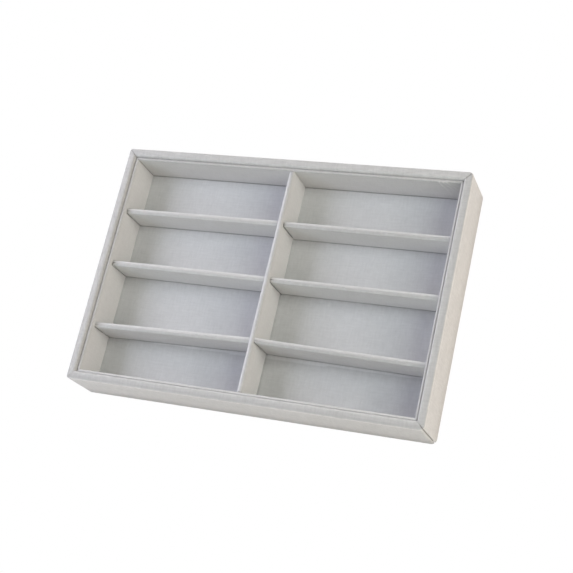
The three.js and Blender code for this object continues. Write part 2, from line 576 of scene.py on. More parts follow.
def weave_effect() -> Effect:
    """Plain weave: two sets of threads that pass over and under each other.

    The height of a thread is the size of a sine across it, and which set lies on top follows the sign of the
    product of both sines. Threads wander a little.

    Returns:
        The group, with outputs Height and Gap, both from 0 to 1.
    """
    effect = Effect(
        "plain_weave",
        {"Cloth": (VECTOR, None), "Pitch": (VALUE, 0.0006), "Wander": (VALUE, 0.0002)},
        {"Height": VALUE, "Gap": VALUE},
    )
    g = effect.graph
    steepness = 2.0
    bulge = 0.3
    height_scale = 0.77
    sway = g.add("ShaderNodeTexNoise", {"Vector": effect.given["Cloth"], "Scale": 260.0, "Detail": 1.0})
    around_zero = {0: sway.outputs["Color"], 1: (0.5, 0.5, 0.5)}
    centred = g.add("ShaderNodeVectorMath", around_zero, operation="SUBTRACT")
    offset = g.add("ShaderNodeVectorMath", {0: centred.outputs[0]}, operation="SCALE")
    g.feed(offset.inputs["Scale"], effect.given["Wander"])
    place = g.add("ShaderNodeVectorMath", {0: effect.given["Cloth"], 1: offset.outputs[0]}, operation="ADD")
    parts = g.add("ShaderNodeSeparateXYZ", {0: place.outputs[0]})
    turn = g.math("DIVIDE", math.pi, effect.given["Pitch"])
    warp = g.math("SINE", g.math("MULTIPLY", parts.outputs["X"], turn))
    weft = g.math("SINE", g.math("MULTIPLY", parts.outputs["Y"], turn))
    warp_rise = g.math("ABSOLUTE", warp)
    weft_rise = g.math("ABSOLUTE", weft)
    over = g.math("MULTIPLY_ADD", g.math("MULTIPLY", warp, weft), steepness, 0.5, clamp=True)
    crossing = g.math("MULTIPLY", warp_rise, weft_rise)
    warp_part = g.math("MULTIPLY", warp_rise, over)
    weft_part = g.math("MULTIPLY", weft_rise, g.math("SUBTRACT", 1.0, over))
    height = g.math("MULTIPLY_ADD", crossing, bulge, g.math("ADD", warp_part, weft_part))
    effect.give("Height", g.math("MULTIPLY", height, height_scale, clamp=True))
    effect.give("Gap", g.math("SUBTRACT", 1.0, g.math("MAXIMUM", warp_rise, weft_rise), clamp=True))
    return effect


def slub_effect() -> Effect:
    """Uneven yarn: long streaks along both sets of threads, and broad mottling.

    Returns:
        The group, with output Shade from 0 to 1, about 0.5 on the mean.
    """
    effect = Effect(
        "uneven_yarn",
        {"Cloth": (VECTOR, None), "Breadth": (VALUE, 600.0), "Mottle": (VALUE, 0.35)},
        {"Shade": VALUE},
    )
    g = effect.graph
    slender = 0.16
    streaks = []
    for stretch in ((slender, 1.0, 1.0), (1.0, slender, 1.0)):
        vector = g.stretched(effect.given["Cloth"], stretch)
        node = g.add("ShaderNodeTexNoise", {"Vector": vector, "Detail": 2.0, "Roughness": 0.6})
        g.feed(node.inputs["Scale"], effect.given["Breadth"])
        streaks.append(node.outputs["Fac"])
    fine = g.math("MULTIPLY", g.math("ADD", *streaks), 0.5)
    broad = g.noise(effect.given["Cloth"], scale=45.0, detail=2.0)
    mixed = g.add("ShaderNodeMix", {0: effect.given["Mottle"], 2: fine, 3: broad}, data_type="FLOAT")
    effect.give("Shade", mixed.outputs[0])
    return effect


def shade_and_dirt_effect() -> Effect:
    """Painted shade, with dirt where pieces meet, broken up in patches.

    Returns:
        The group, with output Mask from 0 to 1.
    """
    effect = Effect(
        "joint_shade_and_dirt",
        {"Shade and dirt": (VALUE, 0.0), "Cloth": (VECTOR, None), "Strength": (VALUE, 0.8)},
        {"Mask": VALUE},
    )
    g = effect.graph
    least, spread = 0.6, 0.7
    patchy = g.noise(effect.given["Cloth"], scale=210.0, detail=2.0)
    share = g.math("MULTIPLY_ADD", patchy, spread, least)
    depth = g.math("MULTIPLY", effect.given["Shade and dirt"], share)
    effect.give("Mask", g.math("MULTIPLY", depth, effect.given["Strength"], clamp=True))
    return effect


def highlight_and_rub_effect() -> Effect:
    """Painted highlight, with paler rubbed cloth, in short broken stretches.

    Returns:
        The group, with output Mask from 0 to 1.
    """
    effect = Effect(
        "painted_highlight_and_rub",
        {"Edge": (VALUE, 0.0), "Cloth": (VECTOR, None), "Strength": (VALUE, 0.4)},
        {"Mask": VALUE},
    )
    g = effect.graph
    slender, contrast, offset = 0.3, 1.6, -0.3
    vector = g.stretched(effect.given["Cloth"], (slender, 1.0, 1.0))
    patchy = g.noise(vector, scale=420.0, detail=3.0, roughness=0.6)
    broken = g.math("MULTIPLY_ADD", patchy, contrast, offset, clamp=True)
    worn = g.math("MULTIPLY", effect.given["Edge"], broken)
    effect.give("Mask", g.math("MULTIPLY", worn, effect.given["Strength"], clamp=True))
    return effect


def fibre_effect() -> Effect:
    """Pressed fibres: short flecks in all directions over a cloudy ground.

    Returns:
        The group, with outputs Shade and Height, both from 0 to 1.
    """
    effect = Effect(
        "pressed_fibres",
        {"Place": (VECTOR, None), "Fineness": (VALUE, 900.0)},
        {"Shade": VALUE, "Height": VALUE},
    )
    g = effect.graph
    slender, fleck_share, cloud_share = 0.2, 0.7, 0.3
    flecks = []
    for stretch in ((slender, 1.0, 1.0), (1.0, slender, 1.0), (1.0, 1.0, slender)):
        vector = g.stretched(effect.given["Place"], stretch)
        node = g.add("ShaderNodeTexNoise", {"Vector": vector, "Detail": 3.0})
        g.feed(node.inputs["Scale"], effect.given["Fineness"])
        flecks.append(node.outputs["Fac"])
    fleck = g.math("MAXIMUM", g.math("MAXIMUM", flecks[0], flecks[1]), flecks[2])
    cloud = g.math("MULTIPLY", g.noise(effect.given["Place"], scale=60.0, detail=3.0), cloud_share)
    effect.give("Shade", g.math("MULTIPLY_ADD", fleck, fleck_share, cloud, clamp=True))
    effect.give("Height", fleck)
    return effect


class Effects:
    """The shared node groups, each built once."""

    def __init__(self) -> None:
        """Builds all of them."""
        self.weave = weave_effect()
        self.slub = slub_effect()
        self.joint = shade_and_dirt_effect()
        self.rub = highlight_and_rub_effect()
        self.fibre = fibre_effect()


@dataclass(frozen=True)
class ClothFinish:
    """Fine plain-woven cloth, pale grey.

    Attributes:
        name: Name of the material.
        thread: Colour of the threads.
        deep: Brightness between threads, as a share of the threads'.
        rubbed: Brightness of the painted highlight and rubbing, as a share of the threads'.
        shade_and_dirt_colour: Colour of the painted shade and of the dirt in the joints.
        pitch: Distance between threads, in metres.
        wander: How far threads wander, as a share of the pitch.
        slub: Breadth of the uneven streaks of yarn, in metres.
        mottle: Share of broad mottling in that unevenness.
        variation: Contrast of uneven yarn.
        shade_and_dirt_strength: How dark the painted shade and the dirt in the joints are.
        highlight_and_rub_strength: How strong the painted highlight and the rubbing are.
        roughness: Mean roughness, and how far uneven yarn spreads it.
        relief: Height of the threads as a share of the pitch, height of uneven yarn as a share of theirs, and
            how strongly the relief shows.
        gloss: Level of the plain reflection.
        sheen: Weight and roughness of the soft sheen of loose fibres.
    """

    name: str
    thread: Colour
    deep: float = 0.78
    rubbed: float = 1.30
    shade_and_dirt_colour: Colour = (0.060, 0.058, 0.055)
    pitch: float = 0.00062
    wander: float = 0.3
    slub: float = 0.0016
    mottle: float = 0.15
    variation: float = 2.16
    shade_and_dirt_strength: float = 0.45
    highlight_and_rub_strength: float = 0.2
    roughness: tuple[float, float] = (0.9, 0.12)
    relief: tuple[float, float, float] = (0.3, 0.8, 0.55)
    gloss: float = 0.2
    sheen: tuple[float, float] = (0.12, 0.45)

    def build(self, effects: Effects) -> bpy.types.Material:
        """Builds the material.

        Args:
            effects: The shared node groups.

        Returns:
            The material.
        """
        material, g, shader = new_material(self.name)
        cloth = g.add("ShaderNodeUVMap", uv_map=CLOTH_MAP).outputs[0]
        wander = self.pitch * self.wander
        weave = effects.weave.place(g, {"Cloth": cloth, "Pitch": self.pitch, "Wander": wander})
        slub = effects.slub.place(g, {"Cloth": cloth, "Breadth": 1 / self.slub, "Mottle": self.mottle})
        joint = effects.joint.place(
            g, {"Shade and dirt": g.attribute(SHADE_AND_DIRT_MASK), "Cloth": cloth, "Strength": self.shade_and_dirt_strength}
        )
        rub = effects.rub.place(
            g, {"Edge": g.attribute(HIGHLIGHT_AND_RUB_MASK), "Cloth": cloth, "Strength": self.highlight_and_rub_strength}
        )
        least = 0.5 - self.variation / 2
        uneven = g.math("MULTIPLY_ADD", slub["Shade"], self.variation, least, clamp=True)
        sunk = g.math("MULTIPLY_ADD", weave["Gap"], 0.5, g.math("MULTIPLY", uneven, 0.5), clamp=True)
        colour = g.blend(sunk, self.thread, dimmed(self.thread, self.deep))
        # Painted highlight, with some rubbing, lightens the cloth where its mask says.
        colour = g.blend(rub["Mask"], colour, dimmed(self.thread, self.rubbed))
        # Painted shade, with dirt in the joints, darkens the cloth where its mask says.
        g.feed(shader["Base Color"], g.blend(joint["Mask"], colour, self.shade_and_dirt_colour))
        mean, spread = self.roughness
        rough = g.math("MULTIPLY_ADD", slub["Shade"], spread, mean - spread / 2, clamp=True)
        g.feed(shader["Roughness"], rough)
        rise, yarn, strength = self.relief
        relief = g.math("MULTIPLY_ADD", slub["Shade"], yarn, weave["Height"])
        bump = {"Height": relief, "Distance": self.pitch * rise, "Strength": strength}
        g.feed(shader["Normal"], g.add("ShaderNodeBump", bump).outputs[0])
        shader["Specular IOR Level"].default_value = self.gloss
        shader["Sheen Weight"].default_value, shader["Sheen Roughness"].default_value = self.sheen
        return material


@dataclass(frozen=True)
class PressedFinish:
    """Pressed fibres: fibreboard, grey board, foam skin or felt.

    Attributes:
        name: Name of the material.
        pale: Colour of the light fibres.
        dark: Colour of the dark fibres.
        fineness: Flecks per metre.
        relief: Depth of the surface, in metres.
        roughness: Mean roughness.
        sheen: Weight of the soft sheen of loose fibres.
        gloss: Level of the plain reflection.
        contrast: Factor and offset that turn the fibres' shade into a share of the light ones.
        spread: How far the fibres spread the roughness.
        strength: How strongly the relief shows.
    """

    name: str
    pale: Colour
    dark: Colour
    fineness: float
    relief: float
    roughness: float
    sheen: float = 0.0
    gloss: float = 0.25
    contrast: tuple[float, float] = (3.0, -1.2)
    spread: float = 0.1
    strength: float = 0.6

    def build(self, effects: Effects) -> bpy.types.Material:
        """Builds the material.

        Args:
            effects: The shared node groups.

        Returns:
            The material.
        """
        material, g, shader = new_material(self.name)
        place = g.add("ShaderNodeTexCoord").outputs["Object"]
        fibre = effects.fibre.place(g, {"Place": place, "Fineness": self.fineness})
        share = g.math("MULTIPLY_ADD", fibre["Shade"], *self.contrast, clamp=True)
        g.feed(shader["Base Color"], g.blend(share, self.dark, self.pale))
        least = self.roughness - self.spread / 2
        rough = g.math("MULTIPLY_ADD", fibre["Shade"], self.spread, least, clamp=True)
        g.feed(shader["Roughness"], rough)
        bump = {"Height": fibre["Height"], "Distance": self.relief, "Strength": self.strength}
        g.feed(shader["Normal"], g.add("ShaderNodeBump", bump).outputs[0])
        shader["Specular IOR Level"].default_value = self.gloss
        shader["Sheen Weight"].default_value = self.sheen
        return material


def new_material(name: str) -> tuple[bpy.types.Material, Graph, bpy.types.bpy_prop_collection]:
    """Makes a material with a bare shader.

    Args:
        name: Name of the material.

    Returns:
        The material, its graph, and the inputs of its shader.
    """
    material = bpy.data.materials.new(name)
    material.use_nodes = True
    material.node_tree.nodes.clear()
    graph = Graph(material.node_tree)
    shader = graph.add("ShaderNodeBsdfPrincipled")
    graph.add("ShaderNodeOutputMaterial", {"Surface": shader.outputs[0]})
    return material, graph, shader.inputs


def dress(piece: bpy.types.Object, material: bpy.types.Material) -> None:
    """Gives a piece one material."""
    piece.data.materials.clear()
    piece.data.materials.append(material)


def make_piece(
    skins: tuple[Patch, Patch], name: str, material: bpy.types.Material, node: str
) -> bpy.types.Object:
    """Builds a soft piece and puts it on its body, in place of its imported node.

    Args:
        skins: Outer and inner skin, or upper and lower one.
        name: Name of the piece.
        material: Its finish.
        node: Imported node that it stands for.

    Returns:
        The piece.
    """
    stock = MeshStock()
    stock.shell(*skins)
    piece = stock.build(name)
    dress(piece, material)
    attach(piece, BODY)
    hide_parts(node)
    LOG.info("%s stands for %s, %d faces", name, node, len(piece.data.polygons))
    return piece


@dataclass
class MitredCloth:
    """Cloth folded over a board on one side of the tray, cut at 45 degrees at both ends.

    Attributes:
        half_length: Half the tray's size along the side.
        half_width: Half the tray's size across the side.
        side: Which side.
        curl: Radius by which the cloth turns into a fully open seam.
        bend: Length at both ends with closer steps, for the rounded upright edges.
        round_reach: How far in from the outer face the rounding of the upright edges dies out.
        rim_passage: Where, in from the outer face, a seam passes from the edge's opening to the rim's.
        seam: Least distance that each end stays back from the mitre plane.
        gape: What a fully open seam adds to that distance.
        seam_shade_length: Length over which the painted shade and dirt in an open seam fade.
        stations: Number of steps along the side.
        end_stations: Points in the turn into a seam, and in the bend next to it.
        fine: Stretch with closer steps, as least and greatest distance from the side's first end.
    """

    half_length: float
    half_width: float
    side: Side
    curl: float
    bend: float = 5.0 * MILLIMETRE
    round_reach: float = 5.0 * MILLIMETRE
    rim_passage: tuple[float, float] = (2.5 * MILLIMETRE, 5.0 * MILLIMETRE)
    seam: float = 0.03 * MILLIMETRE
    gape: float = 0.14 * MILLIMETRE
    seam_shade_length: float = 0.5 * MILLIMETRE
    stations: int = 110
    end_stations: tuple[int, int] = (7, 9)
    fine: tuple[float, float] | None = None

    def steps(self) -> Array:
        """Places along the side, crowded in the turns at both ends.

        Returns:
            Places as shares of the half length, from -1 to 1.
        """
        turn = self.curl * (1 - np.cos(np.linspace(0, math.pi / 2, self.end_stations[0])))
        bend = np.linspace(self.curl, self.bend, self.end_stations[1])[1:]
        near = 1 - np.concatenate([turn, bend]) / self.half_length
        middle = np.linspace(-near[-1], near[-1], self.stations)[1:-1]
        if self.fine:
            low, high = (distance / self.half_length - 1 for distance in self.fine)
            close = np.linspace(low, high, self.stations)
            middle = np.concatenate([middle[middle < low], close, middle[middle > high]])
        return np.concatenate([-near, middle, near[::-1]])

    def openness(self, path: Array) -> Array:
        """How far the nearer seam has opened.

        Args:
            path: Profile, count x 2.

        Returns:
            Shares from 0 to 1, profile x steps, going evenly from the upright edge's to the rim's.
        """
        on_rim = np.interp(path[:, :1], self.rim_passage, (0.0, 1.0))
        start, end = (c.edge + (c.rim - c.edge) * on_rim for c in self.side.corners)
        return np.where(self.steps()[None, :] < 0, start, end)

    def upright_fall(self, distance: Array) -> Array:
        """How far the outer face draws in near an upright edge.

        There the face has turned by arccos(distance / (root 2 x radius)) - 45 degrees, and it draws in by the
        radius times one minus the cosine of that turn.

        Args:
            distance: Distance along the side from the mitre plane, for each step.

        Returns:
            Distance that the face draws in.
        """
        first, last = (corner.radius for corner in self.side.corners)
        radius = np.where(self.steps() < 0, first, last)
        share = np.minimum(distance / (math.sqrt(2) * radius), math.sqrt(0.5))
        return radius * (1 - np.cos(np.arccos(share) - math.pi / 4))

    def skin(self, path: Array, lift: Array, curled: bool) -> Patch:
        """Carries a profile along the side.

        A profile point (inwards, up) is pushed out along its normal by lift and, where the cloth curls into
        a seam, in by radius - root(radius^2 - (radius - distance to the mitre)^2) times the seam's openness.
        Near an upright edge it draws in. Its place along the side is the step times (half length - inwards -
        seam), so that both ends lie next to the mitre planes.

        Args:
            path: Profile, count x 2.
            lift: Push outwards, profile x steps.
            curled: Whether this skin turns into the mitre.

        Returns:
            The grid, with rows along the profile and columns along the side.
        """
        step = self.steps()
        normal = left_normals(path)
        opened = self.openness(path)
        distance = (1 - np.abs(step)) * self.half_length
        into = 1 - np.minimum(distance / self.curl, 1)
        shift = lift - self.curl * (1 - np.sqrt(1 - into**2)) * opened if curled else lift
        inwards = path[:, :1] + normal[:, :1] * shift
        inwards = inwards + self.upright_fall(distance) * np.clip(1 - inwards / self.round_reach, 0, 1)
        up = path[:, 1:] + normal[:, 1:] * shift
        along = step[None, :] * (self.half_length - inwards - self.seam - self.gape * opened)
        local = np.stack([along, inwards - self.half_width, up], axis=-1)
        run = np.broadcast_to(run_length(path)[:, None], along.shape)
        # Painted shade and dirt in an open seam, fading away from the mitre plane.
        joint = opened * np.exp(-distance / self.seam_shade_length)[None, :]
        points = turned(local, self.side.turn, (0.0, 0.0))
        return Patch(points, np.stack([along, run], axis=-1), joint, np.zeros(along.shape))

    def skins(self, path: Array, lift: Array, thickness: float) -> tuple[Patch, Patch]:
        """Outer and inner skin of the cloth.

        Args:
            path: Profile of the outer skin, count x 2.
            lift: Push outwards of the outer skin, profile x steps.
            thickness: Thickness of the cloth.

        Returns:
            Both skins, of which only the outer one turns into the mitres.
        """
        inner = path - left_normals(path) * thickness
        return self.skin(path, lift, curled=True), self.skin(inner, np.zeros_like(lift), curled=False)


def half_sizes(side: Side) -> tuple[float, float]:
    """Half the tray's size along a side and across it.

    Args:
        side: Side of the tray.

    Returns:
        Both halves.
    """
    half_length, half_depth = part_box("right_wall_wrap")[1].x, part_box("back_wall_wrap")[1].y
    return (half_length, half_depth) if side.along_length else (half_depth, half_length)


def slit_swell(side: Side) -> float:
    """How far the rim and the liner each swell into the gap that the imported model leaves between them."""
    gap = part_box("right_wall_wrap")[0].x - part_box("right_liner_cover")[1].x
    return (gap - side.slit) / 2


@dataclass
class WallWraps:
    """Padded cloth round the four wall boards: under the wall, up the outside, over the rim, down inside.

    Attributes:
        thickness: Cloth and padding together.
        outer_round: Radius of the rim's outer edge.
        foot_round: Radius at the foot.
        padding: Height of the gentle swells in the padding.
        swell_lengths: Wavelengths of the swells.
        first_seed: Seed of the front wrap; the other sides count on from it.
        outward_share: Share of an outward swell that is kept.
        calm: Length at both ends over which swells and ridges set in.
        curl: Radius of the turn into the mitres.
        ridge: Height and distance of the fine ridges that the stretched cloth has along the rim.
        sway: How far the ridges sway, in radians.
        sway_lengths: Wavelengths of that sway.
        spacings: Longest steps under the wall, up the outside, over the rim and down inside.
        foot_reach: Height over which the painted shade at the foot fades.
        rim_band: Distance from the outside and width of the band of painted shade on the rim.
        rim_fade: Depth below the top over which ridges and that band fade.
        flat_fade: Depth below the top over which the painted highlight on the flat fades.
        highlight_reach: Height over which the painted highlight on the top of the outside fades.
    """

    thickness: float = 0.72 * MILLIMETRE
    outer_round: float = 1.2 * MILLIMETRE
    foot_round: float = 0.5 * MILLIMETRE
    padding: float = 0.04 * MILLIMETRE
    swell_lengths: tuple[float, ...] = (0.09, 0.052, 0.033)
    first_seed: int = 11
    outward_share: float = 0.35
    calm: float = 12.0 * MILLIMETRE
    curl: float = 0.6 * MILLIMETRE
    ridge: tuple[float, float] = (0.05 * MILLIMETRE, 3.1 * MILLIMETRE)
    sway: float = 2.5
    sway_lengths: tuple[float, ...] = (0.31, 0.17, 0.09)
    spacings: tuple[float, ...] = (1.6 * MILLIMETRE, 1.2 * MILLIMETRE, 0.4 * MILLIMETRE, 1.6 * MILLIMETRE)
    foot_reach: float = 12.0 * MILLIMETRE
    rim_band: tuple[float, float] = (1.7 * MILLIMETRE, 1.3 * MILLIMETRE)
    rim_fade: float = 0.3 * MILLIMETRE
    flat_fade: float = 0.5 * MILLIMETRE
    highlight_reach: float = 9.0 * MILLIMETRE

    def profile(self, side: Side) -> Array:
        """Profile of the outer skin, from the lip under the wall to the foot inside.

        Args:
            side: Side of the tray.

        Returns:
            Points as (inwards, up), count x 2.
        """
        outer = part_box("right_wall_wrap")
        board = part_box("right_wall_board")
        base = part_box("base_board")
        reach = outer[1].x
        lip = reach - board[0].x
        inner = reach - outer[0].x + slit_swell(side)
        foot, rim = outer[0].z, outer[1].z
        corners = [(lip, foot), (0.0, foot), (0.0, rim), (inner, rim), (inner, base[1].z)]
        return soft_path(corners, [self.foot_round, self.outer_round, side.inner_round], self.spacings)

    def rim_ridges(self, path: Array, along: Array, seed: int) -> Array:
        """Fine ridges along the rim, which sway a little.

        On the rim's flat, the height times (sine - 1). The sine's angle is a full turn for each ridge on the
        way inwards, plus a phase that changes gently along the side. Below the flat the ridges fade.

        Args:
            path: Profile, count x 2.
            along: Places along the side.
            seed: Seed of the sway.

        Returns:
            Push outwards, profile x steps, never above zero.
        """
        height, distance = self.ridge
        sway = self.sway * soft_waves(along, np.zeros_like(along), self.sway_lengths, seed)
        wave = np.sin(2 * math.pi * path[:, :1] / distance + sway[None, :])
        on_rim = np.exp(-(path[:, 1].max() - path[:, 1]) / self.rim_fade)
        return height * (wave - 1) * on_rim[:, None]

    def build(self, side: Side, material: bpy.types.Material) -> bpy.types.Object:
        """Builds one wrap.

        Args:
            side: Side of the tray.
            material: Its finish.

        Returns:
            The piece.
        """
        half_length, half_width = half_sizes(side)
        bar = MitredCloth(half_length, half_width, side, self.curl)
        path = self.profile(side)
        run = run_length(path)
        along = bar.steps() * half_length
        seed = self.first_seed + list(Side).index(side)
        fade = np.clip((1 - np.abs(bar.steps())) * half_length / self.calm, 0, 1)
        swell = self.padding * soft_waves(run[:, None], along[None, :], self.swell_lengths, seed) * fade
        lift = np.minimum(swell, 0.0) + self.outward_share * np.maximum(swell, 0.0)
        lift = lift + self.rim_ridges(path, along, seed) * fade
        skins = bar.skins(path, lift, self.thickness)
        self.mark(skins[0], path, side)
        stem = f"{side.word}_wall"
        piece = make_piece(skins, f"{stem}_cloth", material, f"{stem}_wrap")
        return piece

    def mark(self, skin: Patch, path: Array, side: Side) -> None:
        """Paints shade on the foot and on a band of the rim, and highlight with some rubbing on the top of the
        outside and the rim.

        Args:
            skin: Outer skin, changed in place.
            path: Its profile.
            side: Side of the tray.
        """
        inwards, up = path[:, 0], path[:, 1]
        top, inner = up.max(), inwards[-1]
        # Painted shade on the foot and on a band of the rim.
        foot = side.foot_soil * np.exp(-((up / self.foot_reach) ** 2))
        band = ((inwards - self.rim_band[0]) / self.rim_band[1]) ** 2
        rim = side.rim_soil * np.exp(-band - (top - up) / self.rim_fade)
        skin.joint = np.maximum(skin.joint, np.maximum(foot, rim)[:, None])
        # Painted highlight, with some rubbing, on the top of the outside and on the rim's edges and flat.
        outer_edge = np.exp(-(np.hypot(inwards, up - top + self.outer_round) / self.outer_round) ** 2)
        inner_edge = np.exp(-(np.hypot(inwards - inner, up - top) / side.inner_round) ** 2)
        flat = np.exp(-(top - up) / self.flat_fade)
        outside = (inwards < self.outer_round) * np.exp(-(((top - up) / self.highlight_reach) ** 2))
        masks = (outside, outer_edge, flat, inner_edge)
        rub = np.max([share * mask for share, mask in zip(side.rubs, masks)], axis=0)
        skin.rub = np.broadcast_to(rub[:, None], skin.rub.shape).copy()


@dataclass
class LinerCovers:
    """Cloth over the thin boards that stand just inside the walls.

    Attributes:
        thickness: Cloth alone.
        top_round: Radius along the top edge.
        curl: Radius of the turn into the mitres.
        slack: Height of the gentle unevenness of the faces.
        slack_lengths: Wavelengths of that unevenness.
        first_seed: Seed of the front cover; the other sides count on from it.
        puckers: Where the back cover has puckers, as distances from the tray's right face at the top edge,
            and how far each leans to the right per length downwards.
        pucker_size: Their width, rise and the depth below the top edge over which they fade.
        pucker_stretch: Where the back cover has closer steps for them, as distances along its outer edge.
        corner_shade: Painted shadow of the right wall on the back cover's right end, and over what length it
            fades.
        foot_soil: Painted shade on a long side next to the floor, and over what height that fades.
        front_highlight: Painted highlight on the front cover's top.
        spacing: Longest step round the profile.
    """

    thickness: float = 0.46 * MILLIMETRE
    top_round: float = 1.2 * MILLIMETRE
    curl: float = 0.42 * MILLIMETRE
    slack: float = 0.05 * MILLIMETRE
    slack_lengths: tuple[float, ...] = (0.07, 0.041, 0.026)
    first_seed: int = 31
    puckers: tuple[tuple[float, float], ...] = (
        (24.0 * MILLIMETRE, 0.50), (27.5 * MILLIMETRE, 0.42), (31.0 * MILLIMETRE, 0.25)
    )
    pucker_size: tuple[float, float, float] = (0.8 * MILLIMETRE, 0.7 * MILLIMETRE, 16.0 * MILLIMETRE)
    pucker_stretch: tuple[float, float] = (5.2 * MILLIMETRE, 26.0 * MILLIMETRE)
    corner_shade: tuple[float, float] = (0.95, 15.0 * MILLIMETRE)
    foot_soil: tuple[float, float] = (0.5, 0.6 * MILLIMETRE)
    front_highlight: float = 0.2
    spacing: float = 1.2 * MILLIMETRE

    def profile(self, side: Side) -> Array:
        """Profile of the outer skin, up the wall side, over the top and down the inside.

        Args:
            side: Side of the tray.

        Returns:
            Points as (inwards, up), count x 2.
        """
        low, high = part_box("right_liner_cover")
        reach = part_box("right_wall_wrap")[1].x
        outer, inner = reach - high.x - slit_swell(side), reach - low.x
        corners = [(outer, low.z), (outer, high.z), (inner, high.z), (inner, low.z)]
        return soft_path(corners, [self.top_round, self.top_round], [self.spacing] * 3)

    def pucker_rise(self, path: Array, distance: Array) -> Array:
        """Puckers of the inside face.

        Each rises as a bell curve across, leans to the right, and fades below the top edge as half a bell
        curve.

        Args:
            path: Profile, count x 2.
            distance: Distance of each step on the inside face from the tray's right face.

        Returns:
            Push outwards, profile x steps.
        """
        width, rise, depth = self.pucker_size
        below = path[:, 1:].max() - path[:, 1:]
        inside = (path[:, :1] > path[:, 0].mean()) * np.minimum(below / self.top_round, 1)
        total = np.zeros((len(path), len(distance)))
        for place, lean in self.puckers:
            total += np.exp(-(((distance[None, :] - place + lean * below) / width) ** 2))
        return rise * total * inside * np.exp(-((below / depth) ** 2))

    def build(self, side: Side, material: bpy.types.Material) -> bpy.types.Object:
        """Builds one cover.

        Args:
            side: Side of the tray.
            material: Its finish.

        Returns:
            The piece.
        """
        half_length, half_width = half_sizes(side)
        bar = MitredCloth(half_length, half_width, side, self.curl)
        if side is Side.BACK:
            bar.fine = self.pucker_stretch
        path = self.profile(side)
        run = run_length(path)
        along = bar.steps() * half_length
        distance = half_length + bar.steps() * (half_length - path[-1, 0])
        seed = self.first_seed + list(Side).index(side)
        lift = self.slack * soft_waves(run[:, None], along[None, :], self.slack_lengths, seed)
        lift = np.minimum(lift, 0.0)
        if side is Side.BACK:
            lift = lift + self.pucker_rise(path, distance)
        skins = bar.skins(path, lift, self.thickness)
        self.mark(skins[0], path, distance, side)
        stem = f"{side.word}_liner"
        piece = make_piece(skins, f"{stem}_cloth", material, f"{stem}_cover")
        return piece

    def mark(self, skin: Patch, path: Array, distance: Array, side: Side) -> None:
        """Paints shade on the top, and on the long sides on the inside face next to the floor.

        The front cover's top also gets painted highlight; the back cover's right end gets painted shadow of
        the right wall, and its puckers painted highlight.

        Args:
            skin: Outer skin, changed in place.
            path: Its profile.
            distance: Distance of each step on the inside face from the tray's face at the first end.
            side: Side of the tray.
        """
        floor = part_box("floor_lining")[1].z
        inside = path[:, 0] > path[:, 0].mean()
        # Painted shade on the top and at the foot of the long sides.
        strength, height = self.foot_soil
        foot = strength * np.exp(-np.maximum(path[:, 1] - floor, 0) / height) * inside * side.along_length
        edge = np.exp(-(path[:, 1].max() - path[:, 1]) / self.top_round)
        skin.joint = np.maximum(skin.joint, np.maximum(foot, side.liner_soil * edge)[:, None])
        if side is Side.BACK:
            # Painted shadow of the right wall on the back cover's right end.
            strength, length = self.corner_shade
            corner_shadow = strength * np.exp(-(distance - path[-1, 0]) / length)
            skin.joint = np.maximum(skin.joint, inside[:, None] * corner_shadow[None, :])
            # Painted highlight on the puckers.
            skin.rub = self.pucker_rise(path, distance) / self.pucker_size[1]
        if side is Side.FRONT:
            # Painted highlight on the front cover's top.
            skin.rub = np.broadcast_to(self.front_highlight * edge[:, None], skin.rub.shape).copy()


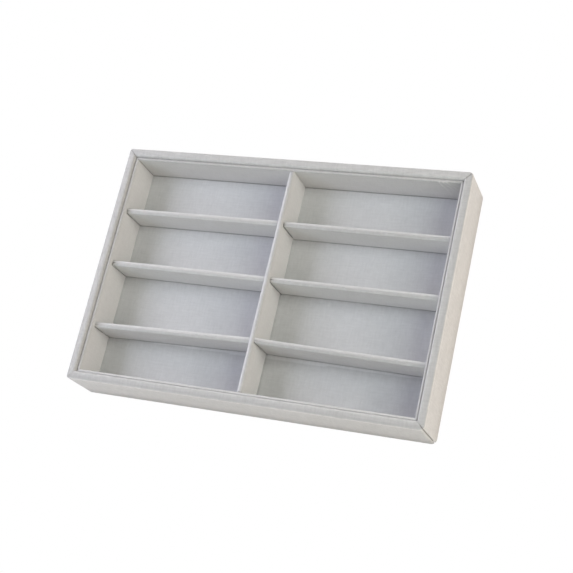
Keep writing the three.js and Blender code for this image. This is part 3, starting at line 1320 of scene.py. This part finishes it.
@dataclass
class DividerSleeves:
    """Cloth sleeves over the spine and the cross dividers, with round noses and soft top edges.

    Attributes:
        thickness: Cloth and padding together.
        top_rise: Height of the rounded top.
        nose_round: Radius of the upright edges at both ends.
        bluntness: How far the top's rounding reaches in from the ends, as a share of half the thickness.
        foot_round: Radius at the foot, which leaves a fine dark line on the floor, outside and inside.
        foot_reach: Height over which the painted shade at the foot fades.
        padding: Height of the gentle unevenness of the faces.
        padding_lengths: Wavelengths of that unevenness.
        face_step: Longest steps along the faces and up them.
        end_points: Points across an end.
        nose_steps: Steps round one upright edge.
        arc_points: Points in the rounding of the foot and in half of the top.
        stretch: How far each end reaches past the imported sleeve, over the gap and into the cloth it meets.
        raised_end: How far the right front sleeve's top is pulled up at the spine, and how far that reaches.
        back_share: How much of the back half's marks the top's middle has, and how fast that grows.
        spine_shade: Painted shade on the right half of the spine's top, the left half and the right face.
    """

    thickness: float = 0.72 * MILLIMETRE
    top_rise: float = 1.7 * MILLIMETRE
    nose_round: float = 0.6 * MILLIMETRE
    bluntness: float = 0.3
    foot_round: tuple[float, float] = (0.3 * MILLIMETRE, 0.075 * MILLIMETRE)
    foot_reach: float = 0.6 * MILLIMETRE
    padding: float = 0.04 * MILLIMETRE
    padding_lengths: tuple[float, ...] = (0.062, 0.037, 0.023)
    face_step: tuple[float, float] = (1.8 * MILLIMETRE, 2.2 * MILLIMETRE)
    end_points: int = 5
    nose_steps: int = 6
    arc_points: tuple[int, int] = (7, 15)
    stretch: float = 0.60 * MILLIMETRE
    raised_end: tuple[float, float] = (3.2 * MILLIMETRE, 8.0 * MILLIMETRE)
    back_share: tuple[float, float] = (0.37, 1.2)
    spine_shade: tuple[float, float, float] = (0.40, 0.14, 0.0)

    def upright(self, radius: float, height: float, foot: float, top: float) -> Array:
        """Half section of a sleeve as (distance from the middle plane, up), from the foot to the ridge.

        A quarter arc at the foot, a straight face, and a quarter of an ellipse that is half the thickness
        wide and as high as the top's rise.

        Args:
            radius: Half the sleeve's thickness.
            height: Height of the ridge above the foot.
            foot: Radius of the arc at the foot.
            top: Rise of the top.

        Returns:
            Points, count x 2.
        """
        angle, over = (np.linspace(0, math.pi / 2, count) for count in self.arc_points)
        shoulder = height - top
        start = np.stack([radius - foot + foot * np.sin(angle), foot - foot * np.cos(angle)], axis=1)
        count = math.ceil((shoulder - foot) / self.face_step[1])
        level = np.linspace(foot, shoulder, count + 1)[1:-1]
        face = np.stack([np.full_like(level, radius), level], axis=1)
        ridge = np.stack([radius * np.cos(over), shoulder + top * np.sin(over)], axis=1)
        return np.concatenate([start, face, ridge])

    def round_path(self, size: tuple[float, float]) -> tuple[Array, Array]:
        """Path round a divider in plan: front face, right end, back face, left end.

        Args:
            size: Length and thickness.

        Returns:
            For each point of the path, the place of its corner's centre as shares of the half length and half
            thickness that remain inside the rounding, and its outward direction; both count x 2.
        """
        face = np.linspace(-1, 1, math.ceil(size[0] / self.face_step[0]) + 1)
        end = np.linspace(-1, 1, self.end_points)
        arc = np.linspace(0, math.pi / 2, self.nose_steps + 1)[1:-1]
        corner = np.ones_like(arc)
        share_x = np.concatenate([face, corner, np.ones_like(end), corner])
        share_y = np.concatenate([-np.ones_like(face), -corner, end, corner])
        quarter = math.pi / 2
        angle = np.concatenate([np.full_like(face, -quarter), arc - quarter, np.zeros_like(end), arc])
        share = np.stack([share_x, share_y], axis=1)
        heading = np.stack([np.cos(angle), np.sin(angle)], axis=1)
        share = np.concatenate([share, -share, share[:1]])
        return share, np.concatenate([heading, -heading, heading[:1]])

    def skin(
        self, section: Array, size: tuple[float, float], share: Array, heading: Array, swell: Array
    ) -> Patch:
        """Carries the half section round the path.

        At a depth below the outer face, the plan is a rectangle whose long sides lie that deep and whose ends
        lie the bluntness times as deep, with corners of the nose's radius less the depth. A point is its
        corner's centre plus that radius times the outward direction. The depth is half the thickness less
        the section's distance, less the swell; the height is the section's.

        Args:
            section: Half section, rows.
            size: Length and thickness of this skin.
            share: Places of the corners' centres as shares, columns x 2.
            heading: Outward directions, columns x 2.
            swell: Push outwards, rows x columns.

        Returns:
            The grid, with rows up the section and columns round the path.
        """
        deep = size[1] / 2 - section[:, :1] - swell * section[:, :1] / section[:, 0].max()
        radius = np.maximum(self.nose_round - deep, 0)
        inside = [whole / 2 - part * deep - radius for whole, part in zip(size, (self.bluntness, 1))]
        x, y = (share[None, :, axis] * inside[axis] + radius * heading[None, :, axis] for axis in (0, 1))
        up = np.broadcast_to(section[:, 1:], x.shape)
        middle = len(section) // 2
        plan = np.stack([x[middle], y[middle]], axis=1)
        around = np.broadcast_to(run_length(plan)[None, :], x.shape)
        rise = np.broadcast_to(run_length(section)[:, None], x.shape)
        empty = np.zeros(x.shape)
        return Patch(np.stack([x, y, up], axis=-1), np.stack([around, rise], axis=-1), empty, empty.copy())

    def spine(self, material: bpy.types.Material) -> bpy.types.Object:
        """Builds the spine's sleeve, with no painted shade at its foot.

        Args:
            material: Its finish.

        Returns:
            The piece.
        """
        low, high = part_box("spine_sleeve")
        size = (high.y - low.y, high.x - low.x)
        painted_shades = (0.0, *self.spine_shade)
        return self.build("spine", math.pi / 2, size, 0.0, painted_shades, material)

    def cross(self, place: DividerPlace, material: bpy.types.Material) -> bpy.types.Object:
        """Builds the sleeve of a cross divider, with painted shade at its foot all along.

        Args:
            place: Which divider.
            material: Its finish.

        Returns:
            The piece.
        """
        painted_shades = (1.0, *place.soil)
        raised = self.raised_end[0] if place is DividerPlace.RIGHT_FRONT else 0.0
        return self.build(f"{place.value[0]}_divider", place.turn, cross_size(), raised, painted_shades, material)

    def build(
        self,
        stem: str,
        turn: float,
        size: tuple[float, float],
        raised: float,
        painted_shades: tuple[float, float, float, float],
        material: bpy.types.Material,
    ) -> bpy.types.Object:
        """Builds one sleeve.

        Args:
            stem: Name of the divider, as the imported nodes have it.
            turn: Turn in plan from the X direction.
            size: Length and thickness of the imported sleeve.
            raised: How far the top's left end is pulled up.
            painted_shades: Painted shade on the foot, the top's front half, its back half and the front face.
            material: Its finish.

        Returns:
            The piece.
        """
        node = f"{stem}_sleeve"
        low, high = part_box(node)
        height = high.z - low.z
        size = (size[0] + 2 * self.stretch, size[1])
        radius = size[1] / 2
        share, heading = self.round_path(size)
        section = self.upright(radius, height, self.foot_round[0], self.top_rise)
        cloth = self.thickness
        inside = self.upright(radius - cloth, height - cloth, self.foot_round[1], self.top_rise - cloth)
        inner_size = (size[0] - 2 * cloth, size[1] - 2 * cloth)
        seed = sum(map(ord, node))
        along = share[:, 0] * size[0] / 2 * heading[:, 1]
        uneven = soft_waves(section[:, 1:], along[None, :], self.padding_lengths, seed)
        outer = self.skin(section, size, share, heading, np.minimum(self.padding * uneven, 0.0))
        inner = self.skin(inside, inner_size, share, heading, np.zeros_like(uneven))
        self.mark(outer, section, heading, painted_shades)
        place = ((low.x + high.x) / 2, (low.y + high.y) / 2)
        for patch in (outer, inner):
            pull = raised * np.exp(-(size[0] / 2 + patch.points[..., 0]) / self.raised_end[1])
            patch.points[..., 2] *= 1 + pull / height
            patch.points = turned(patch.points, turn, place)
            patch.points[..., 2] += low.z
        piece = make_piece((outer, inner), f"{stem}_cloth", material, node)
        return piece

    def mark(
        self, skin: Patch, section: Array, heading: Array, painted_shades: tuple[float, float, float, float]
    ) -> None:
        """Paints shade on the foot, the top and the front face, and highlight on the back half of the top.

        Over the middle of the top, the painted shade passes evenly from the value of the front half to the
        back's.

        Args:
            skin: Outer skin, changed in place.
            section: Its half section.
            heading: Outward directions, columns x 2.
            painted_shades: Painted shade on the foot, the top's front half, its back half and the front face.
        """
        foot_soil, front_shade, back_shade, face_shade = painted_shades
        below = section[:, 1].max() - section[:, 1]
        # Painted shade on the foot, the top and the front face; painted highlight on the back half of the top.
        foot = foot_soil * np.exp(-section[:, 1] / self.foot_reach)
        top = np.exp(-((below / self.top_rise) ** 2))
        across = section[:, :1] / section[:, 0].max() * heading[None, :, 1]
        backward = np.clip(self.back_share[0] + self.back_share[1] * across, 0, 1)
        soil = front_shade + (back_shade - front_shade) * backward
        face = face_shade * np.maximum(-heading[None, :, 1], 0)
        skin.joint = np.maximum(np.maximum(foot[:, None], face), soil * top[:, None])
        skin.rub = backward * top[:, None]


@dataclass
class LaidSheets:
    """Flat soft goods that lie on one another: floor lining, foam under it, and the felt under the tray.

    Attributes:
        press: Depth of the line that cross dividers and the front and back liner press into the lining.
        press_reach: Length over which that line fades.
        crown: Rise of the lining in the middle of a compartment.
        crown_reach: Along and across, the distance from a compartment's edge that is one radian of that rise.
        crown_waves: Share of the rise that is even, and share that is wavy.
        wave_lengths: Wavelengths of the lining and of the pads.
        wave_seed: Seed of the lining's waves.
        shade_line_reach: Length over which the painted shade along those dividers and liners fades.
        compartment_steps: Steps across a compartment.
        divider_steps: Steps under a divider.
        column_shade: How much more painted shade the lining has in the right column than in the left.
        slope_shade: How much more painted shade it gets from back to front.
        end_shade: Painted shade at each column's left end, and over what length that fades.
        line_shade: How dark a fine line of painted shade is in the left and in the right column.
        line_place: Distance of that line from the end and its width.
        line_ramp: How fast the right column's line sets in from back to front, and how late it starts.
        corner_shade: Painted shadow in front of the back liner and each row of dividers, from back to front.
        corner_reach: Over what length that fades.
        edge_round: Radius of the foam's edges.
        felt_round: Radius of the felt's edges.
        edge_points: Points in that rounding.
        foam_steps: Steps along and across the foam.
        felt_steps: Steps along and across the felt.
        unevenness: How uneven the top of foam and felt is, as a share of half the thickness.
        pad_seeds: Seeds of the foam's and the felt's unevenness.
    """

    press: float = 0.30 * MILLIMETRE
    press_reach: float = 0.7 * MILLIMETRE
    crown: float = 0.15 * MILLIMETRE
    crown_reach: tuple[float, float] = (60.0 * MILLIMETRE, 20.0 * MILLIMETRE)
    crown_waves: tuple[float, float] = (0.7, 0.3)
    wave_lengths: tuple[tuple[float, ...], ...] = ((0.05, 0.031, 0.019), (0.08, 0.047, 0.03))
    wave_seed: int = 71
    shade_line_reach: float = 0.45 * MILLIMETRE
    compartment_steps: tuple[int, int] = (56, 30)
    divider_steps: int = 4
    column_shade: float = 0.11
    slope_shade: float = 0.10
    end_shade: tuple[float, float] = (0.13, 15.0 * MILLIMETRE)
    line_shade: tuple[float, float] = (0.18, 0.40)
    line_place: tuple[float, float] = (0.9 * MILLIMETRE, 0.9 * MILLIMETRE)
    line_ramp: tuple[float, float] = (1.6, 0.3)
    corner_shade: tuple[float, ...] = (0.08, 0.12, 0.44, 0.42)
    corner_reach: float = 8.0 * MILLIMETRE
    edge_round: float = 1.2 * MILLIMETRE
    felt_round: float = 0.28 * MILLIMETRE
    edge_points: int = 6
    foam_steps: tuple[int, int] = (60, 40)
    felt_steps: tuple[int, int] = (70, 48)
    unevenness: float = 0.03
    pad_seeds: tuple[int, int] = (8, 9)

    def column_lines(self, reach: float) -> tuple[Array, Array]:
        """Grid lines across the floor in X, and each line's distance from the nearest upright piece.

        Args:
            reach: How far the lining reaches to either side.

        Returns:
            Places of the lines, and their distances, which are zero under the spine.
        """
        left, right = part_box("spine_sleeve")
        return self.lines([(-reach, left.x), (right.x, reach)], self.compartment_steps[0])

    def lines(self, gaps: Sequence[tuple[float, float]], steps: int) -> tuple[Array, Array]:
        """Lines that crowd at the edges of each gap, with a few between two gaps.

        Args:
            gaps: Low and high edge of each compartment, in order.
            steps: Steps across a compartment.

        Returns:
            Places of the lines, and their distance from the nearest edge of their compartment.
        """
        places, distances = [], []
        for number, (low, high) in enumerate(gaps):
            line = even_cosine(low, high, steps)
            places.append(line)
            distances.append(np.minimum(line - low, high - line))
            if number + 1 < len(gaps):
                under = np.linspace(high, gaps[number + 1][0], self.divider_steps + 1)[1:-1]
                places.append(under)
                distances.append(np.zeros_like(under))
        return np.concatenate(places), np.concatenate(distances)

    def row_gaps(self, column: str) -> list[tuple[float, float]]:
        """Compartments of one column, from the front to the back, as low and high Y at the column's middle.

        Args:
            column: Name of the column, left or right.

        Returns:
            Low and high edge of each compartment.
        """
        low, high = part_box("floor_lining")
        thickness = cross_size()[1]
        middles = [middle_of(f"{column}_{row}_divider_sleeve").y for row in ("front", "middle", "back")]
        edges = [low.y, *(m + s * thickness / 2 for m in middles for s in (-1, 1)), high.y]
        return list(zip(edges[::2], edges[1::2]))

    def lining(self, material: bpy.types.Material) -> bpy.types.Object:
        """Builds the floor lining: a sheet with pressed lines along cross dividers and long liners.

        The height falls from the flat by press times e to the minus (distance over reach), and rises by the
        crown times the product of two quarter sine waves that climb from each compartment's edges, made a
        little wavy. Lines follow turned dividers: in each column a row's Y is moved by the tangent of the
        nearest divider's turn times the distance from the column's middle.

        Args:
            material: Its finish.

        Returns:
            The piece.
        """
        low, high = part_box("floor_lining")
        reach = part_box("right_liner_cover")[0].x
        x, x_away = self.column_lines(reach)
        rows = {c: self.lines(self.row_gaps(c), self.compartment_steps[1]) for c in ("left", "right")}
        middle_x = {c: middle_of(f"{c}_middle_divider_sleeve").x for c in rows}
        slopes = {c: self.row_slopes(c, rows[c][0]) for c in rows}
        sheared = {c: rows[c][0][:, None] + slopes[c][:, None] * (x - middle_x[c])[None, :] for c in rows}
        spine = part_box("spine_sleeve")
        share = np.clip((x - spine[0].x) / (spine[1].x - spine[0].x), 0, 1)[None, :]
        y = (1 - share) * sheared["left"] + share * sheared["right"]
        y_away = np.broadcast_to(rows["left"][1][:, None], y.shape)
        line = np.exp(-y_away / self.press_reach)
        away = zip((x_away[None, :], y_away), self.crown_reach)
        swell_x, swell_y = (np.sin(np.clip(gap / radian, 0, math.pi / 2)) for gap, radian in away)
        flat_x = np.broadcast_to(x[None, :], y.shape)
        waves = soft_waves(flat_x, y, self.wave_lengths[0], self.wave_seed)
        crown = self.crown * swell_x * swell_y * (self.crown_waves[0] + self.crown_waves[1] * waves)
        top = high.z - self.press * line + crown
        # Painted shade along the dividers and liners, and painted shade over the rest of the lining.
        joint = np.maximum(np.exp(-y_away / self.shade_line_reach), self.painted_floor_shade(flat_x, y))
        blank = np.zeros(y.shape)
        cloth = np.stack([flat_x, y], axis=-1)
        upper = Patch(np.stack([flat_x, y, top], axis=-1), cloth, joint, blank)
        under = Patch(np.stack([flat_x, y, np.full(y.shape, low.z)], axis=-1), cloth, blank, blank)
        piece = make_piece((upper, under), "floor_cloth", material, "floor_lining")
        return piece

    def painted_floor_shade(self, x: Array, y: Array) -> Array:
        """Painted shade on the lining away from the joints.

        The painted shade is even in each column and rises evenly to the front. To that come parts at each
        column's left end and in front of the back liner and the dividers, which fall with e to the minus
        (distance over reach), and a fine line at the left end, which is a bell curve across.

        Args:
            x: Places along the length.
            y: Places along the depth.

        Returns:
            The painted shade, from 0 to 1.
        """
        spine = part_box("spine_sleeve")
        in_right = x > middle_of("spine_sleeve").x
        from_end = x - np.where(in_right, spine[1].x, x.min())
        forward = (y.max() - y) / np.ptp(y)
        soil = self.column_shade * in_right + self.slope_shade * forward
        soil += self.end_shade[0] * np.exp(-np.maximum(from_end, 0) / self.end_shade[1])
        line = np.exp(-(((from_end - self.line_place[0]) / self.line_place[1]) ** 2))
        ramp = np.clip(forward * self.line_ramp[0] - self.line_ramp[1], 0, 1)
        soil += np.where(in_right, self.line_shade[1] * ramp, self.line_shade[0]) * line
        rows = ["back_liner_cover"] + [f"left_{row}_divider_sleeve" for row in ("back", "middle", "front")]
        for strength, row in zip(self.corner_shade, rows):
            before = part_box(row)[0].y - y
            soil += strength * (before > 0) * np.exp(-np.maximum(before, 0) / self.corner_reach)
        return soil

    def row_slopes(self, column: str, lines: Array) -> Array:
        """Slope of each grid line of a column, passing evenly from one divider's turn to the next.

        Args:
            column: Name of the column, left or right.
            lines: Y of the lines at the column's middle.

        Returns:
            Slope of each line.
        """
        low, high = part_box("floor_lining")
        places = [DividerPlace[f"{column}_{row}".upper()] for row in ("front", "middle", "back")]
        reach = cross_size()[1] / 2
        knots, slopes = [low.y], [0.0]
        for place in places:
            middle = middle_of(place.node).y
            knots += [middle - reach, middle + reach]
            slopes += [math.tan(place.turn)] * 2
        return np.interp(lines, [*knots, high.y], [*slopes, 0.0])

    def pillow(self, node: str, edge: float, steps: tuple[int, int], seed: int) -> tuple[Patch, Patch]:
        """Flat pad with round edges.

        Half the thickness at a point is its full half times the root of 1 - (1 - distance over radius)^2,
        where the distance is to the nearest edge, so the top and the bottom close in a half round all about.

        Args:
            node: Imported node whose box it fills.
            edge: Radius of the edges.
            steps: Steps along and across.
            seed: Seed of the unevenness.

        Returns:
            Upper and lower skin.
        """
        low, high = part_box(node)
        rim = edge * (1 - np.cos(np.linspace(0, math.pi / 2, self.edge_points)))
        lines = []
        for start, end, count in zip(low[:2], high[:2], steps):
            between = np.linspace(start + edge, end - edge, count)[1:-1]
            lines.append(np.concatenate([start + rim, between, end - rim[::-1]]))
        x, y = np.meshgrid(*lines)
        inside = np.minimum(np.minimum(x - low.x, high.x - x), np.minimum(y - low.y, high.y - y))
        share = np.sqrt(1 - (1 - np.clip(inside / edge, 0, 1)) ** 2)
        half = (high.z - low.z) / 2 * share
        middle = (high.z + low.z) / 2
        uneven = 1 - self.unevenness * (1 + soft_waves(x, y, self.wave_lengths[1], seed))
        cloth = np.stack([x, y], axis=-1)
        blank = np.zeros(x.shape)
        upper = Patch(np.stack([x, y, middle + half * uneven], axis=-1), cloth, blank, blank)
        under = Patch(np.stack([x, y, middle - half], axis=-1), cloth, blank, blank)
        return upper, under

    def foam(self, material: bpy.types.Material) -> bpy.types.Object:
        """Builds the foam under the lining.

        Args:
            material: Its finish.

        Returns:
            The piece.
        """
        skins = self.pillow("floor_foam", self.edge_round, self.foam_steps, self.pad_seeds[0])
        piece = make_piece(skins, "foam_pad", material, "floor_foam")
        return piece

    def felt(self, material: bpy.types.Material) -> bpy.types.Object:
        """Builds the felt that closes the underside.

        Args:
            material: Its finish.

        Returns:
            The piece.
        """
        skins = self.pillow("base_sheet", self.felt_round, self.felt_steps, self.pad_seeds[1])
        piece = make_piece(skins, "base_felt", material, "base_sheet")
        return piece


def middle_of(node: str) -> Vector:
    """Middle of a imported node's box."""
    low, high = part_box(node)
    return (low + high) / 2


def cross_size() -> tuple[float, float]:
    """Length and thickness of a cross divider, from one that isn't turned."""
    low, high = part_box(DividerPlace.RIGHT_MIDDLE.node)
    return high.x - low.x, high.y - low.y


class Tray:
    """The whole tray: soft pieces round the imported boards, and their finishes."""

    def __init__(self) -> None:
        """Builds the finishes."""
        effects = Effects()
        # Wall, liner, divider and floor are one cloth; their different colours are painted light and shade for
        # how light falls on each part.
        wall = ClothFinish(
            "wall_cloth", (0.585, 0.580, 0.575), 0.70, 1.42, slub=0.0018, variation=3.6, highlight_and_rub_strength=0.9
        )
        liner = ClothFinish("liner_cloth", (0.722, 0.714, 0.708), pitch=0.00055, highlight_and_rub_strength=1.0)
        divider = ClothFinish("divider_cloth", (0.712, 0.709, 0.706), highlight_and_rub_strength=0.5)
        floor = ClothFinish("floor_cloth", (0.766, 0.773, 0.786), 0.72, pitch=0.0007, slub=0.0018)
        foam = PressedFinish("foam", (0.82, 0.80, 0.74), (0.70, 0.68, 0.61), 700, 0.0004, 0.95)
        felt = PressedFinish("felt", (0.50, 0.49, 0.48), (0.36, 0.35, 0.34), 800, 0.0005, 0.97, 0.2)
        fibreboard = PressedFinish("fibreboard", (0.48, 0.33, 0.18), (0.33, 0.21, 0.10), 900, 0.0001, 0.8)
        greyboard = PressedFinish("greyboard", (0.43, 0.37, 0.30), (0.31, 0.26, 0.20), 1200, 0.0001, 0.88)
        self.wall, self.liner, self.divider, self.floor = (
            finish.build(effects) for finish in (wall, liner, divider, floor)
        )
        self.foam, self.felt, self.fibreboard, self.greyboard = (
            finish.build(effects) for finish in (foam, felt, fibreboard, greyboard)
        )

    def build(self) -> None:
        """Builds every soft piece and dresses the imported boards."""
        walls, liners, sleeves, sheets = WallWraps(), LinerCovers(), DividerSleeves(), LaidSheets()
        sheets.felt(self.felt)
        sheets.foam(self.foam)
        sheets.lining(self.floor)
        for side in Side:
            walls.build(side, self.wall)
            liners.build(side, self.liner)
        sleeves.spine(self.divider)
        for place in DividerPlace:
            sleeves.cross(place, self.divider)
        self.dress_boards()

    def dress_boards(self) -> None:
        """Gives each packed board its finish: fibreboard for walls and base, grey board for the thin ones."""
        for name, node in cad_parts.items():
            if not name.endswith("_board"):
                continue
            thick = name == "base_board" or name.endswith("wall_board")
            dress(node, self.fibreboard if thick else self.greyboard)
            LOG.info("%s keeps its solid", name)


def direction(azimuth: float, elevation: float) -> Vector:
    """Unit direction from the tray, by degrees from -Y towards +X and degrees above the level."""
    around, above = math.radians(azimuth), math.radians(elevation)
    return Vector((math.sin(around) * math.cos(above), -math.cos(around) * math.cos(above), math.sin(above)))


@dataclass(frozen=True)
class Viewpoint:
    """Where the photograph was taken from, fitted to the tray's straight edges in it.

    Attributes:
        aim: Point that the middle of the picture shows.
        azimuth: Direction of the camera from the aim, in degrees from -Y towards +X.
        elevation: Height of the camera, in degrees above the level.
        roll: Turn of the camera about its axis, in degrees.
        distance: Distance from the aim, in metres.
        focal_pixels: Focal length, in pixels of the picture.
        picture_pixels: Width and height of the picture.
        sensor: Width of the sensor, in millimetres.
        nearest: Nearest distance that the camera shows, in metres.
    """

    aim: tuple[float, float, float] = (0.01282, 0.00176, 0.025)
    azimuth: float = 51.748
    elevation: float = 61.904
    roll: float = -41.942
    distance: float = 1.16861
    focal_pixels: float = 1253.41
    picture_pixels: int = 573
    sensor: float = 36.0
    nearest: float = 0.01

    def build(self) -> bpy.types.Object:
        """Makes the camera and sets it as the scene's own.

        Returns:
            The camera.
        """
        data = bpy.data.cameras.new("camera")
        data.sensor_width = self.sensor
        data.lens = self.focal_pixels / self.picture_pixels * self.sensor
        data.clip_start = self.nearest
        camera = bpy.data.objects.new("camera", data)
        bpy.context.scene.collection.objects.link(camera)
        back = direction(self.azimuth, self.elevation)
        around = math.radians(self.azimuth)
        level = Vector((math.cos(around), math.sin(around), 0.0))
        rise = back.cross(level)
        tilt = math.radians(self.roll)
        right = level * math.cos(tilt) + rise * math.sin(tilt)
        axes = Matrix((right, back.cross(right), back)).transposed()
        camera.matrix_world = Matrix.Translation(Vector(self.aim) + back * self.distance) @ axes.to_4x4()
        bpy.context.scene.camera = camera
        return camera


@dataclass(frozen=True)
class SoftBox:
    """A square studio light that looks at the tray.

    Attributes:
        name: Name of the light.
        azimuth: Direction from the tray, in degrees from -Y towards +X.
        elevation: Height, in degrees above the level.
        power: Power in watts.
        colour: Colour of the light.
        distance: Distance from the tray, in metres.
        width: Side of the square, in metres.
    """

    name: str
    azimuth: float
    elevation: float
    power: float
    colour: Colour
    distance: float = 1.6
    width: float = 0.9

    def build(self) -> bpy.types.Object:
        """Makes the light; the camera doesn't see it.

        Returns:
            The light.
        """
        data = bpy.data.lights.new(self.name, "AREA")
        data.shape = "SQUARE"
        data.size = self.width
        data.energy = self.power
        data.color = self.colour
        light = bpy.data.objects.new(self.name, data)
        bpy.context.scene.collection.objects.link(light)
        back = direction(self.azimuth, self.elevation)
        light.location = back * self.distance
        light.rotation_euler = (-back).to_track_quat("-Z", "Y").to_euler()
        light.visible_camera = False
        return light


@dataclass(frozen=True)
class Studio:
    """Plain pale floor, white surroundings and soft lights on all sides.

    Attributes:
        floor_half: Half the floor's size, in metres.
        backdrop: Brightness of the floor and surroundings as the camera sees them.
        glow: Brightness with which the floor, lit from below, shines on the tray.
        glow_colour: Colour of that light.
    """

    floor_half: float = 12.0
    backdrop: float = 1.0
    glow: float = 0.50
    glow_colour: Colour = (1.00, 0.87, 0.80)

    def build(self) -> None:
        """Makes the floor, the surroundings and the lights, and sets plain colour handling."""
        self.floor()
        self.surroundings()
        for light in self.lights():
            light.build()
        view = bpy.context.scene.view_settings
        view.view_transform = "Standard"
        view.look = "None"

    def lights(self) -> list[SoftBox]:
        """The soft lights: strong at the back left, right and left, weak at the front and front left.

        Returns:
            The lights, from the strongest to the weakest.
        """
        return [
            SoftBox("back_left_low", 225, 18, 12.5, (0.98, 1.00, 1.00)),
            SoftBox("right_high", 90, 42, 11.4, (0.95, 1.00, 0.91)),
            SoftBox("left", 270, 42, 10.4, (0.79, 0.82, 1.00)),
            SoftBox("right_low", 90, 18, 8.9, (1.00, 0.83, 0.75)),
            SoftBox("back_left_high", 225, 42, 5.6, (1.00, 0.89, 0.85)),
            SoftBox("front_left_high", 315, 42, 3.6, (0.84, 0.95, 1.00)),
            SoftBox("front_high", 0, 42, 3.4, (1.00, 0.91, 0.88)),
            SoftBox("front_low", 0, 18, 3.4, (0.85, 1.00, 0.74)),
            SoftBox("front_left_low", 315, 18, 2.8, (0.75, 0.70, 1.00)),
        ]

    def floor(self) -> None:
        """Makes the pale floor as a plane at the underside."""
        half = self.floor_half
        mesh = bpy.data.meshes.new("studio_floor")
        corners = [(-half, -half, 0.0), (half, -half, 0.0), (half, half, 0.0), (-half, half, 0.0)]
        mesh.from_pydata(corners, [], [(0, 1, 2, 3)])
        floor = bpy.data.objects.new("studio_floor", mesh)
        bpy.context.scene.collection.objects.link(floor)
        material, g, shader = new_material("pale_floor")
        place = g.add("ShaderNodeTexCoord").outputs["Object"]
        pale, paler = (0.80, 0.80, 0.80), (0.82, 0.82, 0.82)
        clouds = g.noise(place, scale=3.0, detail=2.0)
        g.feed(shader["Base Color"], g.blend(clouds, paler, pale))
        shader["Roughness"].default_value = 1.0
        shader["Emission Color"].default_value = (*self.glow_colour, 1.0)
        shader["Emission Strength"].default_value = self.glow
        self.whiten(g)
        dress(floor, material)

    def whiten(self, graph: Graph) -> None:
        """Lets the camera see the backdrop's plain white in place of the floor's own shader.

        Args:
            graph: The floor's graph, with a finished shader.
        """
        nodes = graph.tree.nodes
        own = next(n for n in nodes if n.bl_idname == "ShaderNodeBsdfPrincipled")
        end = next(n for n in nodes if n.bl_idname == "ShaderNodeOutputMaterial")
        direct = graph.add("ShaderNodeLightPath").outputs["Is Camera Ray"]
        white = graph.add("ShaderNodeEmission", {"Color": (1.0, 1.0, 1.0, 1.0), "Strength": self.backdrop})
        mixed = graph.add("ShaderNodeMixShader", {0: direct, 1: own.outputs[0], 2: white.outputs[0]})
        graph.feed(end.inputs["Surface"], mixed.outputs[0])

    def surroundings(self) -> None:
        """Makes the white surroundings, which give no light."""
        world = bpy.data.worlds.new("studio")
        world.use_nodes = True
        world.node_tree.nodes.clear()
        graph = Graph(world.node_tree)
        direct = graph.add("ShaderNodeLightPath").outputs["Is Camera Ray"]
        strength = graph.math("MULTIPLY", direct, self.backdrop)
        background = graph.add("ShaderNodeBackground", {"Color": (1.0, 1.0, 1.0, 1.0), "Strength": strength})
        graph.add("ShaderNodeOutputWorld", {"Surface": background.outputs[0]})
        bpy.context.scene.world = world


def main() -> None:
    """Builds the camera, the tray and the studio."""
    logging.basicConfig(level=logging.INFO, format="%(name)s: %(message)s")
    Viewpoint().build()
    Tray().build()
    Studio().build()


if __name__ == "__main__":
    main()
